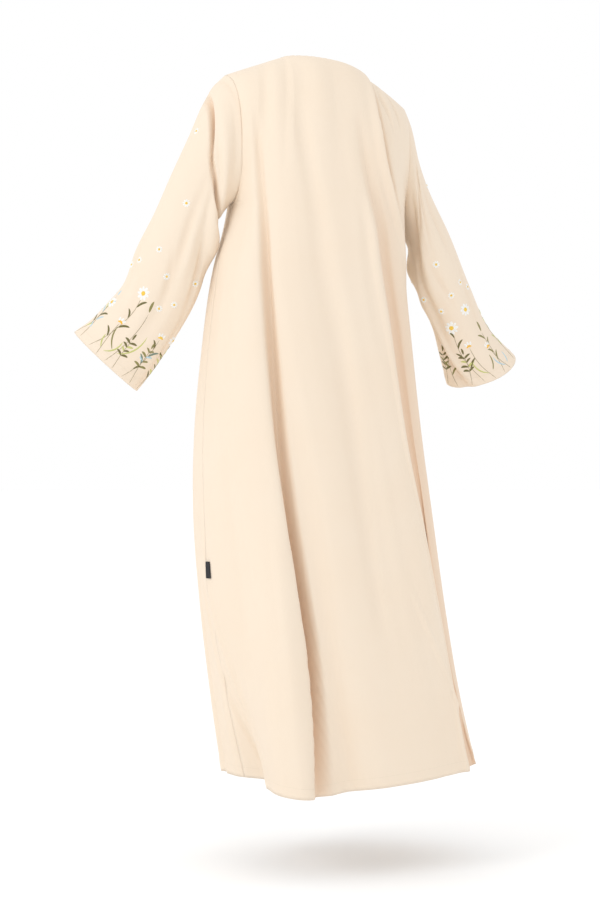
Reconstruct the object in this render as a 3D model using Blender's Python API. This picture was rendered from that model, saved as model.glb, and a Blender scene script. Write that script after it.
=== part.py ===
"""A full-length open-front cloak with wide set-in sleeves, empty but hanging as it is worn.

Metres, +Z up. The wearer would face -Y, so the wearer's left is +X and the back is +Y.
The origin is midway between the neck ends of the two shoulder seams, where the cloak hangs.

Every panel is a sheet of points worked out by formula, and then a thin wall round that sheet.
Round the body, an angle says where a point is: 0 is the left side, 90 the centre back, 180 the
right side, and 270 or -90 the centre front. Down the body, a drop is the distance below z = 0.
"""

import bpy
import numpy as np

# The cloth
WALL = 0.0015
SEAM_GAP = 0.0003
HEM_TURN_UP = 0.025
HEM_EXTRA = 0.0007

# Neck and shoulders
NECK_HALF_WIDTH = 0.075
NAPE_Y = 0.052
NAPE_RISE = 0.008
NAPE_ROUNDNESS = 0.8
FRONT_NECK_Y = -0.085
FRONT_NECK_DROP = 0.095
NECK_TILT = 1.15
LEFT_NECK_Z = 0.007
RIGHT_NECK_Z = -0.021
LEFT_TIP = (0.186, -0.010, -0.031)
RIGHT_TIP = (-0.186, -0.010, -0.077)

# The armholes, which run from the shoulder tips down to the underarm points
UNDERARM_DROP = 0.287
UNDERARM_TILT = 0.010
ARMHOLE_BACK_BOW = 0.060
ARMHOLE_FRONT_BOW = 0.062

# How each column of cloth turns over the shoulder before it hangs: a higher number turns sooner
SHOULDER_TURN = 3.5
# How much closer the rows lie at the shoulder and at the underarm than between them
SHOULDER_CROWDING = 1.6
UNDERARM_CROWDING = 1.5
# How square the bottom and top of an armhole are
ARMHOLE_SQUARENESS = 2.2
# How closely the bow keeps to the armhole's edge, at the shoulder and how much more at the foot
BOW_SPREAD = 2
BOW_NARROWS = 10
# How closely the armhole's own line keeps clear of the slope that the skirt gives the cloth above
EDGE_HOLD = 6
# The drop over which that slope is measured
SLOPE_STEP = 0.01

# The half gap between the two front edges, at the neck and at the hem
FRONT_GAP_NECK = 0.004
FRONT_GAP_HEM = 0.035

SECTION_COLUMNS = (
    "drop", "centre_x", "centre_y", "half_width", "back_depth", "front_depth",
    "left_seam", "right_seam", "squareness",
)
BODY_SECTIONS = (
    (0.287, 0.002, 0.000, 0.172, 0.134, 0.120, 0, 180, 0.80),
    (0.330, 0.006, 0.000, 0.178, 0.136, 0.123, 1, 180, 0.82),
    (0.387, 0.014, 0.000, 0.187, 0.140, 0.130, 3, 180, 0.84),
    (0.559, 0.019, -0.005, 0.208, 0.152, 0.148, 5, 180, 0.88),
    (0.755, 0.013, -0.012, 0.226, 0.165, 0.170, 7, 182, 0.92),
    (0.892, 0.000, -0.018, 0.235, 0.175, 0.184, 8, 184, 0.94),
    (1.050, -0.023, -0.026, 0.239, 0.186, 0.198, 6, 187, 0.96),
    (1.244, -0.061, -0.038, 0.242, 0.198, 0.214, 4, 191, 0.98),
    (1.410, -0.102, -0.048, 0.248, 0.205, 0.228, 2, 194, 1.00),
)

# How softly a squared section crosses the middle of the back and of the front
SOFT_MIDDLE = 0.02

# The drop of the hem at angles round the body
HEM_ANGLES = (-90, -30, 10, 50, 70, 110, 150, 185, 270)
HEM_DROPS = (1.385, 1.388, 1.396, 1.412, 1.401, 1.386, 1.380, 1.373, 1.385)

FOLD_COLUMNS = (
    "start", "angle_start", "angle_middle", "angle_hem",
    "height_middle", "height_hem", "spread_middle", "spread_hem",
)
BODY_FOLDS = {
    "big ridge at the left of the back": (0.25, 34, 55, 48, 0.012, 0.066, 24, 24),
    "hollow to its right": (0.15, 34, 68, 66, -0.014, -0.016, 13, 14),
    "hollow behind its left flank": (0.80, 16, 16, 14, -0.002, -0.045, 16, 20),
    "soft hollow down the middle": (0.08, 62, 99, 104, -0.008, 0.000, 13, 14),
    "ridge at the right of the back": (0.15, 98, 122, 141, 0.012, 0.016, 13, 14),
    "hollow beside that ridge": (0.15, 106, 136, 156, -0.020, -0.032, 10, 11),
    "ridge at the right side": (0.45, 160, 170, 180, 0.008, 0.014, 14, 16),
    "ridge ahead of the right seam": (0.80, 206, 208, 210, 0.006, 0.030, 16, 16),
    "hollow in the right front": (0.50, 228, 230, 232, -0.010, -0.030, 14, 16),
    "ridge in the right front": (0.45, 248, 248, 248, 0.010, 0.026, 12, 14),
    "ridge ahead of the left seam": (0.60, -20, -20, -18, 0.006, 0.020, 16, 16),
    "hollow in the left front": (0.55, -42, -42, -42, -0.010, -0.030, 14, 16),
    "ridge by the left front edge": (0.50, -66, -66, -66, 0.010, 0.022, 12, 14),
}

# Sleeves: where the upper and the lower line of each arm run, seen square to the arm.
# "out" is the distance from the body's axis along the arm's direction in plan.
LEFT_ARM = (0.940, -0.342)
RIGHT_ARM = (-0.940, 0.342)
# "behind" moves the arm's line back, and "lean" tips its rings, in degrees, as a bent arm does.
SLEEVE_COLUMNS = (
    "along", "top_out", "top_drop", "under_out", "under_drop", "half_thick", "behind", "lean",
)
LEFT_SLEEVE = (
    (0.00, 0.176, 0.031, 0.158, 0.279, 0.062, 0.060, 0),
    (0.05, 0.201, 0.056, 0.171, 0.291, 0.062, 0.060, 0),
    (0.12, 0.222, 0.099, 0.192, 0.311, 0.060, 0.060, 0),
    (0.30, 0.262, 0.180, 0.207, 0.374, 0.056, 0.058, 0),
    (0.50, 0.311, 0.292, 0.228, 0.452, 0.050, 0.056, 0),
    (0.70, 0.350, 0.369, 0.263, 0.520, 0.047, 0.052, 2),
    (0.85, 0.379, 0.441, 0.303, 0.580, 0.045, 0.048, 4),
    (0.91, 0.402, 0.467, 0.322, 0.607, 0.045, 0.047, 4),
    (0.96, 0.437, 0.503, 0.337, 0.625, 0.045, 0.045, 5),
    (1.00, 0.469, 0.527, 0.349, 0.640, 0.044, 0.044, 6),
)
RIGHT_SLEEVE = (
    (0.00, 0.171, 0.077, 0.162, 0.297, 0.062, -0.060, 0),
    (0.12, 0.181, 0.138, 0.186, 0.324, 0.062, -0.060, 2),
    (0.30, 0.218, 0.232, 0.192, 0.388, 0.062, -0.062, 6),
    (0.50, 0.264, 0.328, 0.205, 0.458, 0.060, -0.070, 14),
    (0.70, 0.307, 0.433, 0.232, 0.512, 0.058, -0.086, 22),
    (0.85, 0.344, 0.512, 0.246, 0.562, 0.057, -0.103, 28),
    (1.00, 0.400, 0.571, 0.262, 0.618, 0.056, -0.122, 32),
)
SLEEVE_BLEND = 0.42
SLEEVE_PEAR = 0.15
SLEEVE_LENGTH = 0.59
SLEEVE_RADIUS = 0.064
# How soon a sleeve's fold fades along its run: a higher number makes it shorter
SLEEVE_FOLD_FADE = 1.6
# The share of the sleeve, next to the armhole, over which its folds grow from nothing
SLEEVE_HEAD = 0.06

SLEEVE_FOLD_COLUMNS = (
    "along_start", "around_start", "along_end", "around_end", "height", "spread",
)
LEFT_SLEEVE_FOLDS = {
    "crease from the shoulder to the underarm": (0.05, 60, 0.24, 160, -0.012, 0.022),
    "drape of cloth behind it": (0.03, 110, 0.12, 165, 0.010, 0.026),
    "soft hollow along the forearm": (0.45, 120, 0.98, 100, -0.005, 0.022),
    "hollow in front of the elbow": (0.30, 230, 0.75, 265, -0.008, 0.024),
}
RIGHT_SLEEVE_FOLDS = {
    "hollow from the shoulder": (0.06, 70, 0.30, 120, -0.008, 0.020),
    "hollow above the underside": (0.22, 150, 0.80, 125, -0.010, 0.022),
    "hollow in front of the elbow": (0.30, 230, 0.75, 265, -0.008, 0.024),
}

# The folded tab in the left side seam
TAB_DROP = 0.985
TAB_HEIGHT = 0.032
TAB_REACH = 0.014
TAB_WALL = 0.0012
TAB_FROM_SEAM = 0.0008

# How finely the sheets are divided
SHOULDER_STEPS = 12
BACK_NECK_STEPS = 14
FRONT_NECK_STEPS = 9
ARMHOLE_STEPS = 9
SKIRT_STEPS = 16
SLEEVE_STEPS = 16
TAB_STEPS = 2

CREAM = (0.90, 0.83, 0.72)
CREAM_ROUGHNESS = 0.9
BLACK = (0.02, 0.02, 0.022)
BLACK_ROUGHNESS = 0.7
SHARP_ANGLE = 50

# Points nearer than this count as one, where the panels' edges meet
SAME_POINT = 1e-7


def column(table, names, name):
    return np.array([row[names.index(name)] for row in table], float)


def smooth_between(keys, values, at):
    """A smooth curve through the values at rising keys, level past both ends."""
    slopes = np.gradient(values, keys)
    at = np.clip(at, keys[0], keys[-1])
    i = np.clip(np.searchsorted(keys, at, side="right") - 1, 0, len(keys) - 2)
    span = keys[i + 1] - keys[i]
    f = (at - keys[i]) / span
    start = (1 + 2 * f) * (1 - f) ** 2 * values[i] + f * (1 - f) ** 2 * span * slopes[i]
    end = f ** 2 * (3 - 2 * f) * values[i + 1] - f ** 2 * (1 - f) * span * slopes[i + 1]
    return start + end


def section(name, drop):
    return smooth_between(
        column(BODY_SECTIONS, SECTION_COLUMNS, "drop"),
        column(BODY_SECTIONS, SECTION_COLUMNS, name),
        drop,
    )


def ease(fraction):
    f = np.clip(fraction, 0, 1)
    return f * f * (3 - 2 * f)


def bump(distance):
    """1 at the fold's middle line, falling smoothly to 0 at a distance of 1."""
    return np.cos(np.clip(distance, -1, 1) * np.pi / 2) ** 2


def body_angle(place, drop):
    """The angle of a place in the pieces' own measure, where both side seams stay at 0 and 180."""
    left = section("left_seam", drop)
    right = section("right_seam", drop)
    back = left + place / 180 * (right - left)
    left_front = -90 + (place + 90) / 90 * (left + 90)
    right_front = 270 - (270 - place) / 90 * (270 - right)
    return np.where(place < 0, left_front, np.where(place > 180, right_front, back))


def outward(angle, drop):
    """The level direction square to the body's plain section."""
    turn = np.radians(angle)
    depth = np.where(np.sin(turn) > 0, section("back_depth", drop), section("front_depth", drop))
    x = np.cos(turn) / section("half_width", drop)
    y = np.sin(turn) / depth
    size = np.hypot(x, y)
    return x / size, y / size


def fold_height(angle, drop):
    """How far the folds move the cloth out, in metres."""
    total = np.zeros(np.broadcast(angle, drop).shape)
    hem = max(HEM_DROPS)
    for values in BODY_FOLDS.values():
        fold = dict(zip(FOLD_COLUMNS, values))
        middle = (fold["start"] + hem) / 2
        drops = np.array([fold["start"], middle, hem])
        centre = smooth_between(
            drops, np.array([fold["angle_start"], fold["angle_middle"], fold["angle_hem"]], float), drop
        )
        height = smooth_between(
            drops, np.array([0, fold["height_middle"], fold["height_hem"]]), drop
        )
        spread = np.interp(drop, drops[1:], [fold["spread_middle"], fold["spread_hem"]])
        total = total + height * bump((angle - centre) / spread)
    return total


def ring_point(place, drop):
    """A point of the body's cloth below the underarms."""
    angle = body_angle(place, drop)
    turn = np.radians(angle)
    square = section("squareness", drop)
    depth = np.where(np.sin(turn) > 0, section("back_depth", drop), section("front_depth", drop))
    cos = np.cos(turn) * (np.cos(turn) ** 2 + SOFT_MIDDLE) ** ((square - 1) / 2)
    sin = np.sign(np.sin(turn)) * np.abs(np.sin(turn)) ** square
    out_x, out_y = outward(angle, drop)
    height = fold_height(angle, drop)
    x = section("centre_x", drop) + section("half_width", drop) * cos + height * out_x
    y = section("centre_y", drop) + depth * sin + height * out_y
    return np.stack([x, y, -drop + 0 * x], axis=-1)


def shoulder_line(tip, neck, fraction):
    """From the shoulder tip at 0 to the neck at 1."""
    tip, neck = np.array(tip), np.array(neck)
    return tip + (neck - tip) * fraction[..., None]


def back_top(across):
    """The back's top edge, from the left tip at 0 to the right tip at 1."""
    steps = 2 * SHOULDER_STEPS + BACK_NECK_STEPS
    neck_start = SHOULDER_STEPS / steps
    left_neck = (NECK_HALF_WIDTH, 0, LEFT_NECK_Z)
    right_neck = (-NECK_HALF_WIDTH, 0, RIGHT_NECK_Z)
    left = shoulder_line(LEFT_TIP, left_neck, across / neck_start)
    right = shoulder_line(RIGHT_TIP, right_neck, (1 - across) / neck_start)
    round_neck = np.clip((across - neck_start) / (1 - 2 * neck_start), 0, 1)
    turn = np.pi * round_neck
    neck = np.stack(
        [
            NECK_HALF_WIDTH * np.cos(turn),
            NAPE_Y * np.sin(turn) ** NAPE_ROUNDNESS,
            LEFT_NECK_Z + (RIGHT_NECK_Z - LEFT_NECK_Z) * round_neck + NAPE_RISE * np.sin(turn),
        ],
        axis=-1,
    )
    across = across[..., None]
    return np.where(across <= neck_start, left, np.where(across >= 1 - neck_start, right, neck))


def front_top(across, side):
    """A front's top edge, from the tip at 0 to the front edge at 1. side is 1 left and -1 right."""
    neck_start = SHOULDER_STEPS / (SHOULDER_STEPS + FRONT_NECK_STEPS)
    tip = LEFT_TIP if side > 0 else RIGHT_TIP
    neck_z = LEFT_NECK_Z if side > 0 else RIGHT_NECK_Z
    shoulder = shoulder_line(tip, (side * NECK_HALF_WIDTH, 0, neck_z), across / neck_start)
    turn = np.pi / 2 * np.clip((across - neck_start) / (1 - neck_start), 0, 1)
    centre_z = -FRONT_NECK_DROP
    neck = np.stack(
        [
            side * (FRONT_GAP_NECK + (NECK_HALF_WIDTH - FRONT_GAP_NECK) * np.cos(turn)),
            FRONT_NECK_Y * np.sin(turn),
            neck_z + (centre_z - neck_z) * np.sin(turn) ** NECK_TILT,
        ],
        axis=-1,
    )
    return np.where(across[..., None] <= neck_start, shoulder, neck)


def hang(top, place, edge, down, bow):
    """Cloth from its top edge down to the underarm level at down = 1 and the hem at down = 2.

    edge is 1 along an armhole and falls to 0 across the panel. bow carries the armhole's edge
    back or forward between the shoulder tip and the underarm.
    """
    side = np.cos(np.radians(np.clip(place, 0, 180)))
    under = UNDERARM_DROP - UNDERARM_TILT * side
    foot = ring_point(place, under)
    fall = top[..., 2] - foot[..., 2]
    near_top = np.clip(down, 0, 1) ** SHOULDER_CROWDING
    near_foot = (1 - np.clip(down, 0, 1)) ** UNDERARM_CROWDING
    sunk = near_top / (near_top + near_foot)
    reach = np.sqrt(1 - (1 - sunk) ** SHOULDER_TURN)
    leaning = (ring_point(place, under + SLOPE_STEP) - foot) / SLOPE_STEP
    above = fall * (1 - sunk) * (1 - edge ** EDGE_HOLD)
    upper = top + (foot - leaning * above[..., None] - top) * reach[..., None]
    upper[..., 2] = top[..., 2] - fall * sunk
    bowed = np.sqrt(1 - np.abs(2 * sunk - 1) ** ARMHOLE_SQUARENESS)
    upper[..., 1] += bow * bowed * edge ** (BOW_SPREAD + BOW_NARROWS * sunk ** 2)
    hem = np.interp(place, HEM_ANGLES, HEM_DROPS)
    drop = under + (hem - under) * np.clip(down - 1, 0, 1)
    lower = ring_point(place, drop)
    return np.where((down <= 1)[..., None], upper, lower)


def back_sheet(across, down):
    """across runs from the left seam at 0 to the right seam at 1."""
    edge = np.abs(2 * across - 1)
    return hang(back_top(across), 180 * across, edge, down, ARMHOLE_BACK_BOW)


def front_sheet(across, down, side):
    """across runs from the side seam at 0 to the front edge at 1."""
    gap = FRONT_GAP_NECK + (FRONT_GAP_HEM - FRONT_GAP_NECK) * np.clip(down / 2, 0, 1)
    rough_drop = UNDERARM_DROP + (max(HEM_DROPS) - UNDERARM_DROP) * np.clip(down - 1, 0, 1)
    reach = 90 - np.degrees(gap / section("half_width", rough_drop))
    place = np.where(side > 0, -reach * across, 180 + reach * across)
    return hang(front_top(across, side), place, 1 - across, down, -ARMHOLE_FRONT_BOW)


def down_steps(armhole_steps, skirt_steps):
    """Rows down a panel to the underarm, then to the hem, with one at the top of its turn-up."""
    turn_up = HEM_TURN_UP / (max(HEM_DROPS) - UNDERARM_DROP)
    skirt = 1 + np.linspace(0, 1 - turn_up, skirt_steps)[1:]
    return np.concatenate([np.linspace(0, 1, armhole_steps + 1), skirt, [2.0]])


def armhole(side, down):
    """The closed armhole edge: down the back from the shoulder tip, then up the front."""
    across = np.full(down.shape, 0.0 if side > 0 else 1.0)
    back = back_sheet(across, down)
    front = front_sheet(np.zeros(down.shape), down, side)
    return back, front


def share_of_length(points):
    lengths = np.linalg.norm(np.diff(points, axis=0), axis=1)
    return np.concatenate([[0], np.cumsum(lengths)]) / lengths.sum()


def sleeve_fold_height(folds, along, around):
    total = np.zeros(np.broadcast(along, around).shape)
    for values in folds.values():
        fold = dict(zip(SLEEVE_FOLD_COLUMNS, values))
        run = np.array(
            [
                (fold["along_end"] - fold["along_start"]) * SLEEVE_LENGTH,
                np.radians(fold["around_end"] - fold["around_start"]) * SLEEVE_RADIUS,
            ]
        )
        here_along = (along - fold["along_start"]) * SLEEVE_LENGTH
        here_around = np.radians(around - fold["around_start"]) * SLEEVE_RADIUS
        length = np.hypot(*run)
        travelled = (here_along * run[0] + here_around * run[1]) / length
        beside = np.abs(here_along * run[1] - here_around * run[0]) / length
        fades = bump((travelled / length - 1 / 2) * SLEEVE_FOLD_FADE)
        total = total + fold["height"] * fades * bump(beside / fold["spread"])
    return total


def sleeve_sheet(side, down, along):
    """Rings of a sleeve. down places the armhole's points and along runs from 0 to the cuff at 1."""
    table, arm, folds = (
        (LEFT_SLEEVE, LEFT_ARM, LEFT_SLEEVE_FOLDS)
        if side > 0
        else (RIGHT_SLEEVE, RIGHT_ARM, RIGHT_SLEEVE_FOLDS)
    )
    back, front = armhole(side, down)
    loop = np.concatenate([back, front[-2:0:-1]])
    around = np.concatenate(
        [180 * share_of_length(back), 360 - 180 * share_of_length(front)[-2:0:-1]]
    )
    keys = column(table, SLEEVE_COLUMNS, "along")

    def at(name):
        return smooth_between(keys, column(table, SLEEVE_COLUMNS, name), along)

    behind = np.array([abs(arm[1]), abs(arm[0])])
    plan_arm = np.array(arm)

    def line(out, drop):
        plan = plan_arm * out[:, None] + behind * at("behind")[:, None]
        return np.concatenate([plan, -drop[:, None]], axis=1)

    top = line(at("top_out"), at("top_drop"))
    under = line(at("under_out"), at("under_drop"))
    centre = (top + under) / 2
    tall = (top - under) / 2
    phi = np.radians(around)
    thick = at("half_thick")[:, None] * np.sin(phi) * (1 + SLEEVE_PEAR * np.cos(phi))
    lean = np.radians(at("lean"))
    across = np.column_stack([np.outer(np.cos(lean), behind), -np.sin(lean)])
    shaped = tall[:, None] * np.cos(phi)[None, :, None] + thick[..., None] * across[:, None]
    from_centre = loop - centre[0]
    blend = ease(along / SLEEVE_BLEND)[:, None, None]
    offset = (1 - blend) * from_centre[None] + blend * shaped
    height = sleeve_fold_height(folds, along[:, None], around[None, :])
    out = offset / np.linalg.norm(offset, axis=2, keepdims=True)
    return centre[:, None] + offset + out * (height * ease(along / SLEEVE_HEAD)[:, None])[..., None]


def sheet_triangles(rows, columns, closed):
    """Triangles of a grid, each as three (row, column) numbers in one index."""
    across = columns if closed else columns - 1
    r, c = np.meshgrid(np.arange(rows - 1), np.arange(across), indexing="ij")
    n = (c + 1) % columns
    a, b = r * columns + c, r * columns + n
    d, e = (r + 1) * columns + c, (r + 1) * columns + n
    return np.concatenate([np.stack([a, d, e], -1).reshape(-1, 3), np.stack([a, e, b], -1).reshape(-1, 3)])


def own_normals(sheet, closed, turned):
    """The outward direction at each point of one sheet."""
    points = sheet.reshape(-1, 3)
    triangles = sheet_triangles(*sheet.shape[:2], closed)
    if turned:
        triangles = triangles[:, ::-1]
    a, b, c = (points[triangles[:, k]] for k in range(3))
    face = np.cross(b - a, c - a)
    total = np.zeros(points.shape)
    for k in range(3):
        np.add.at(total, triangles[:, k], face)
    return total / np.linalg.norm(total, axis=1, keepdims=True)


def shared_normals(sheets, closed, turned):
    """Outward directions that halve the angle wherever sheets meet, so their walls meet in a mitre."""
    names = list(sheets)
    points = np.concatenate([sheets[name].reshape(-1, 3) for name in names])
    _, weld = np.unique(np.round(points / SAME_POINT), axis=0, return_inverse=True)
    weld = weld.reshape(-1)
    starts = np.cumsum([0] + [sheets[name][..., 0].size for name in names])
    total = np.zeros((weld.max() + 1, 3))
    for sleeves in (False, True):
        group = np.zeros(total.shape)
        for name, start, end in zip(names, starts, starts[1:]):
            if closed[name] == sleeves:
                np.add.at(group, weld[start:end], own_normals(sheets[name], closed[name], turned[name]))
        total += group / np.maximum(np.linalg.norm(group, axis=1, keepdims=True), SAME_POINT ** 2)
    total /= np.linalg.norm(total, axis=1, keepdims=True)
    return {
        name: total[weld[start:end]].reshape(sheets[name].shape)
        for name, start, end in zip(names, starts, starts[1:])
    }


def square_to_edge(edge, beside, closed):
    """Unit steps off an edge towards the points beside it, square to the edge's own run."""
    run = np.roll(edge, -1, axis=0) - np.roll(edge, 1, axis=0)
    if not closed:
        run[0] = edge[1] - edge[0]
        run[-1] = edge[-1] - edge[-2]
    run /= np.linalg.norm(run, axis=1, keepdims=True)
    way = beside - edge
    way -= run * (way * run).sum(axis=1, keepdims=True)
    return way / np.linalg.norm(way, axis=1, keepdims=True)


def drawn_in(sheet, closed):
    """The sheet with its edges moved in by half the seam gap."""
    inner = sheet.copy()
    for edge, beside in ((0, 1), (-1, -2)):
        inner[edge] += square_to_edge(sheet[edge], sheet[beside], closed) * SEAM_GAP / 2
        if not closed:
            inner[:, edge] += square_to_edge(sheet[:, edge], sheet[:, beside], False) * SEAM_GAP / 2
    return inner


def material(name, colour, roughness):
    made = bpy.data.materials.new(name)
    made.use_nodes = True
    shader = made.node_tree.nodes["Principled BSDF"]
    shader.inputs["Base Color"].default_value = (*colour, 1)
    shader.inputs["Roughness"].default_value = roughness
    shader.inputs["Metallic"].default_value = 0
    return made


def add_wall(name, sheet, normals, closed, turned, finish, outside, inside):
    """A closed wall round a sheet: outside and inside are its reach to both sides, in metres."""
    rows, columns = sheet.shape[:2]
    count = rows * columns
    outer = sheet + normals * np.broadcast_to(outside, sheet.shape[:2])[..., None]
    inner = sheet - normals * np.broadcast_to(inside, sheet.shape[:2])[..., None]
    points = np.concatenate([outer.reshape(-1, 3), inner.reshape(-1, 3)])
    skin = sheet_triangles(rows, columns, closed)
    index = np.arange(count).reshape(rows, columns)
    if closed:
        ring = np.append(np.arange(columns), 0)
        edges = [index[0, ring][::-1], index[-1, ring]]
    else:
        edges = [
            np.concatenate([index[0, ::-1], index[1:, 0], index[-1, 1:], index[-2::-1, -1]])
        ]
    rims = []
    for edge in edges:
        a, b = edge[:-1], edge[1:]
        rims += [np.stack([b, a, a + count], -1), np.stack([b, a + count, b + count], -1)]
    triangles = np.concatenate([skin, skin[:, ::-1] + count] + rims)
    if turned:
        triangles = triangles[:, ::-1]
    mesh = bpy.data.meshes.new(name)
    mesh.from_pydata(points.tolist(), [], triangles.tolist())
    mesh.update()
    mesh.shade_smooth()
    mesh.set_sharp_from_angle(angle=np.radians(SHARP_ANGLE))
    mesh.materials.append(material(name + " cloth", *finish))
    made = bpy.data.objects.new(name, mesh)
    bpy.context.scene.collection.objects.link(made)
    return made


def tab_sheet(sheet, normals):
    """The tab's points, from the back's strip beside the left seam and moved out, and their normals."""
    low = TAB_DROP - TAB_HEIGHT / 2
    drops = low + TAB_HEIGHT * np.linspace(0, 1, TAB_STEPS + 1)
    at = np.interp(drops, -sheet[:, 0, 2], np.arange(len(sheet)))
    row = np.floor(at).astype(int)
    part = (at - row)[:, None, None]
    strip = sheet[row, :2] + (sheet[row + 1, :2] - sheet[row, :2]) * part
    facing = normals[row, :2] + (normals[row + 1, :2] - normals[row, :2]) * part
    width = np.linalg.norm(strip[:, 1] - strip[:, 0], axis=1)
    reach = TAB_FROM_SEAM + (TAB_REACH - TAB_FROM_SEAM) * np.linspace(0, 1, TAB_STEPS + 1)
    share = (reach[None, :] / width[:, None])[..., None]
    places = strip[:, :1] + (strip[:, 1:] - strip[:, :1]) * share
    facing = facing[:, :1] + (facing[:, 1:] - facing[:, :1]) * share
    facing /= np.linalg.norm(facing, axis=2, keepdims=True)
    return places + facing * (WALL / 2 + SEAM_GAP + TAB_WALL / 2), facing


def main():
    for old in list(bpy.data.objects):
        bpy.data.objects.remove(old)
    down = down_steps(ARMHOLE_STEPS, SKIRT_STEPS)
    armhole_down = down[: ARMHOLE_STEPS + 1]
    back_across = np.linspace(0, 1, 2 * SHOULDER_STEPS + BACK_NECK_STEPS + 1)
    front_across = np.linspace(0, 1, SHOULDER_STEPS + FRONT_NECK_STEPS + 1)
    along = np.linspace(0, 1, SLEEVE_STEPS + 1)
    back_grid = np.meshgrid(back_across, down)
    front_grid = np.meshgrid(front_across, down)
    sheets = {
        "back": back_sheet(*back_grid),
        "left_front": front_sheet(*front_grid, 1),
        "right_front": front_sheet(*front_grid, -1),
        "left_sleeve": sleeve_sheet(1, armhole_down, along),
        "right_sleeve": sleeve_sheet(-1, armhole_down, along),
    }
    closed = {name: "sleeve" in name for name in sheets}
    turned = {name: name in ("left_front", "right_sleeve") for name in sheets}
    normals = shared_normals(sheets, closed, turned)
    for name, sheet in sheets.items():
        inside = np.full(sheet.shape[:2], WALL / 2)
        inside[-2:] += HEM_EXTRA
        add_wall(
            name, drawn_in(sheet, closed[name]), normals[name], closed[name], turned[name],
            (CREAM, CREAM_ROUGHNESS), WALL / 2, inside,
        )
    tab, facing = tab_sheet(sheets["back"], normals["back"])
    black = (BLACK, BLACK_ROUGHNESS)
    add_wall("side_tab", tab, facing, False, False, black, TAB_WALL / 2, TAB_WALL / 2)


if __name__ == "__main__":
    main()
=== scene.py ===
# %% [markdown]
# # An open-front cloak in cream crepe
# The real thing is a long robe worn over other clothes. It has one wide back, two fronts that meet
# edge to edge, two wide sleeves, and flowers stitched up from the cuffs. It hangs here as it is worn,
# empty, and we see it from behind.
#
# The lesson goes in the order of the work: camera and light, the cut of the cloth, its folds, the
# sewing, and last the embroidery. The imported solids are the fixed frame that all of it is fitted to.

# %% Load the frame
import bpy
import math
import numpy as np
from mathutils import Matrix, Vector


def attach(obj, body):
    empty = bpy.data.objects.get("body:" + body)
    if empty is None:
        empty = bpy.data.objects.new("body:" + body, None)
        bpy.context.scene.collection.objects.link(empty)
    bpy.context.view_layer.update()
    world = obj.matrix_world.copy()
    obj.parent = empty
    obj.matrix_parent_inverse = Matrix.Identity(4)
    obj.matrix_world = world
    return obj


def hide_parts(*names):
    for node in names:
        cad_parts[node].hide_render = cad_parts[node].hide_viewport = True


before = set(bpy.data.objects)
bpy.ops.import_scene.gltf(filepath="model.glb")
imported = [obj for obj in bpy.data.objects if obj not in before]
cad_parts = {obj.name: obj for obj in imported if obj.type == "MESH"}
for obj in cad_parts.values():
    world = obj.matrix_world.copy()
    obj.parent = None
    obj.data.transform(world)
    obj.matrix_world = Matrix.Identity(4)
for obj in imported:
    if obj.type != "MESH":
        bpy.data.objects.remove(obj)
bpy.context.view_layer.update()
print("solids in the frame:", ", ".join(sorted(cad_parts)))

# %% [markdown]
# ## The camera
# The photo looks level at the middle of the cloak, from behind and a little to the cloak's left.
# A long lens from 4.3 m away keeps the shoulders and the hem at the same scale, as a studio
# photographer would. Putting the camera in first means that every later step can be judged in it.

# %% Camera
VIEW_DIRECTION = Vector((0.342, 0.940, 0))
VIEW_CENTRE = Vector((0.031, -0.011, -0.755))
CAMERA_DISTANCE = 4.3
LENS_MM = 87.9
SENSOR_MM = 36


def add_camera():
    data = bpy.data.cameras.new("studio camera")
    data.lens = LENS_MM
    data.sensor_width = SENSOR_MM
    camera = bpy.data.objects.new("studio camera", data)
    camera.location = VIEW_CENTRE + VIEW_DIRECTION.normalized() * CAMERA_DISTANCE
    camera.rotation_euler = (-VIEW_DIRECTION).to_track_quat("-Z", "Y").to_euler()
    bpy.context.scene.collection.objects.link(camera)
    bpy.context.scene.camera = camera
    return camera


camera = add_camera()
print("camera at", [round(v, 2) for v in camera.location])

# %% [markdown]
# ## Floor and light
# The light is high-key: a white room whose light comes from all round, with one large soft lamp on
# the left. Pale cloth in such a room has no grey shadows. Light that goes into a fold bounces
# between two cream walls and comes out warmer. A white world, a true cloth colour and folds that
# are really deep give a part of that peach tone, and a painted shade in the crepe, a darker, warmer
# cream deep in the folds, adds the rest further on. The floor glows a little, as a lit paper sweep
# does, so it meets the wall without a line.

# %% Floor and light
FLOOR_Z = -1.57
FLOOR_RADIUS = 40
FLOOR_SIDES = 96
FLOOR_WHITE = (0.98, 0.98, 0.98)
FLOOR_ROUGHNESS = 0.95
FLOOR_GLOW = 0.06
KEY_POWER = 42
KEY_SIZE = 2.2
KEY_PLACE = Vector((3.9, 1.5, 1.9))


def plain_material(name, colour, roughness):
    """(material, shader) of one colour, which a texture can take over later."""
    made = bpy.data.materials.new(name)
    made.use_nodes = True
    shader = made.node_tree.nodes["Principled BSDF"]
    shader.inputs["Base Color"].default_value = (*colour, 1)
    shader.inputs["Roughness"].default_value = roughness
    return made, shader


def add_floor():
    bpy.ops.mesh.primitive_circle_add(
        vertices=FLOOR_SIDES, radius=FLOOR_RADIUS, fill_type="NGON", location=(0, 0, FLOOR_Z)
    )
    floor = bpy.context.object
    floor.name = "studio_floor"
    white, shader = plain_material("white floor", FLOOR_WHITE, FLOOR_ROUGHNESS)
    shader.inputs["Emission Color"].default_value = (1, 1, 1, 1)
    shader.inputs["Emission Strength"].default_value = FLOOR_GLOW
    floor.data.materials.append(white)


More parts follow.
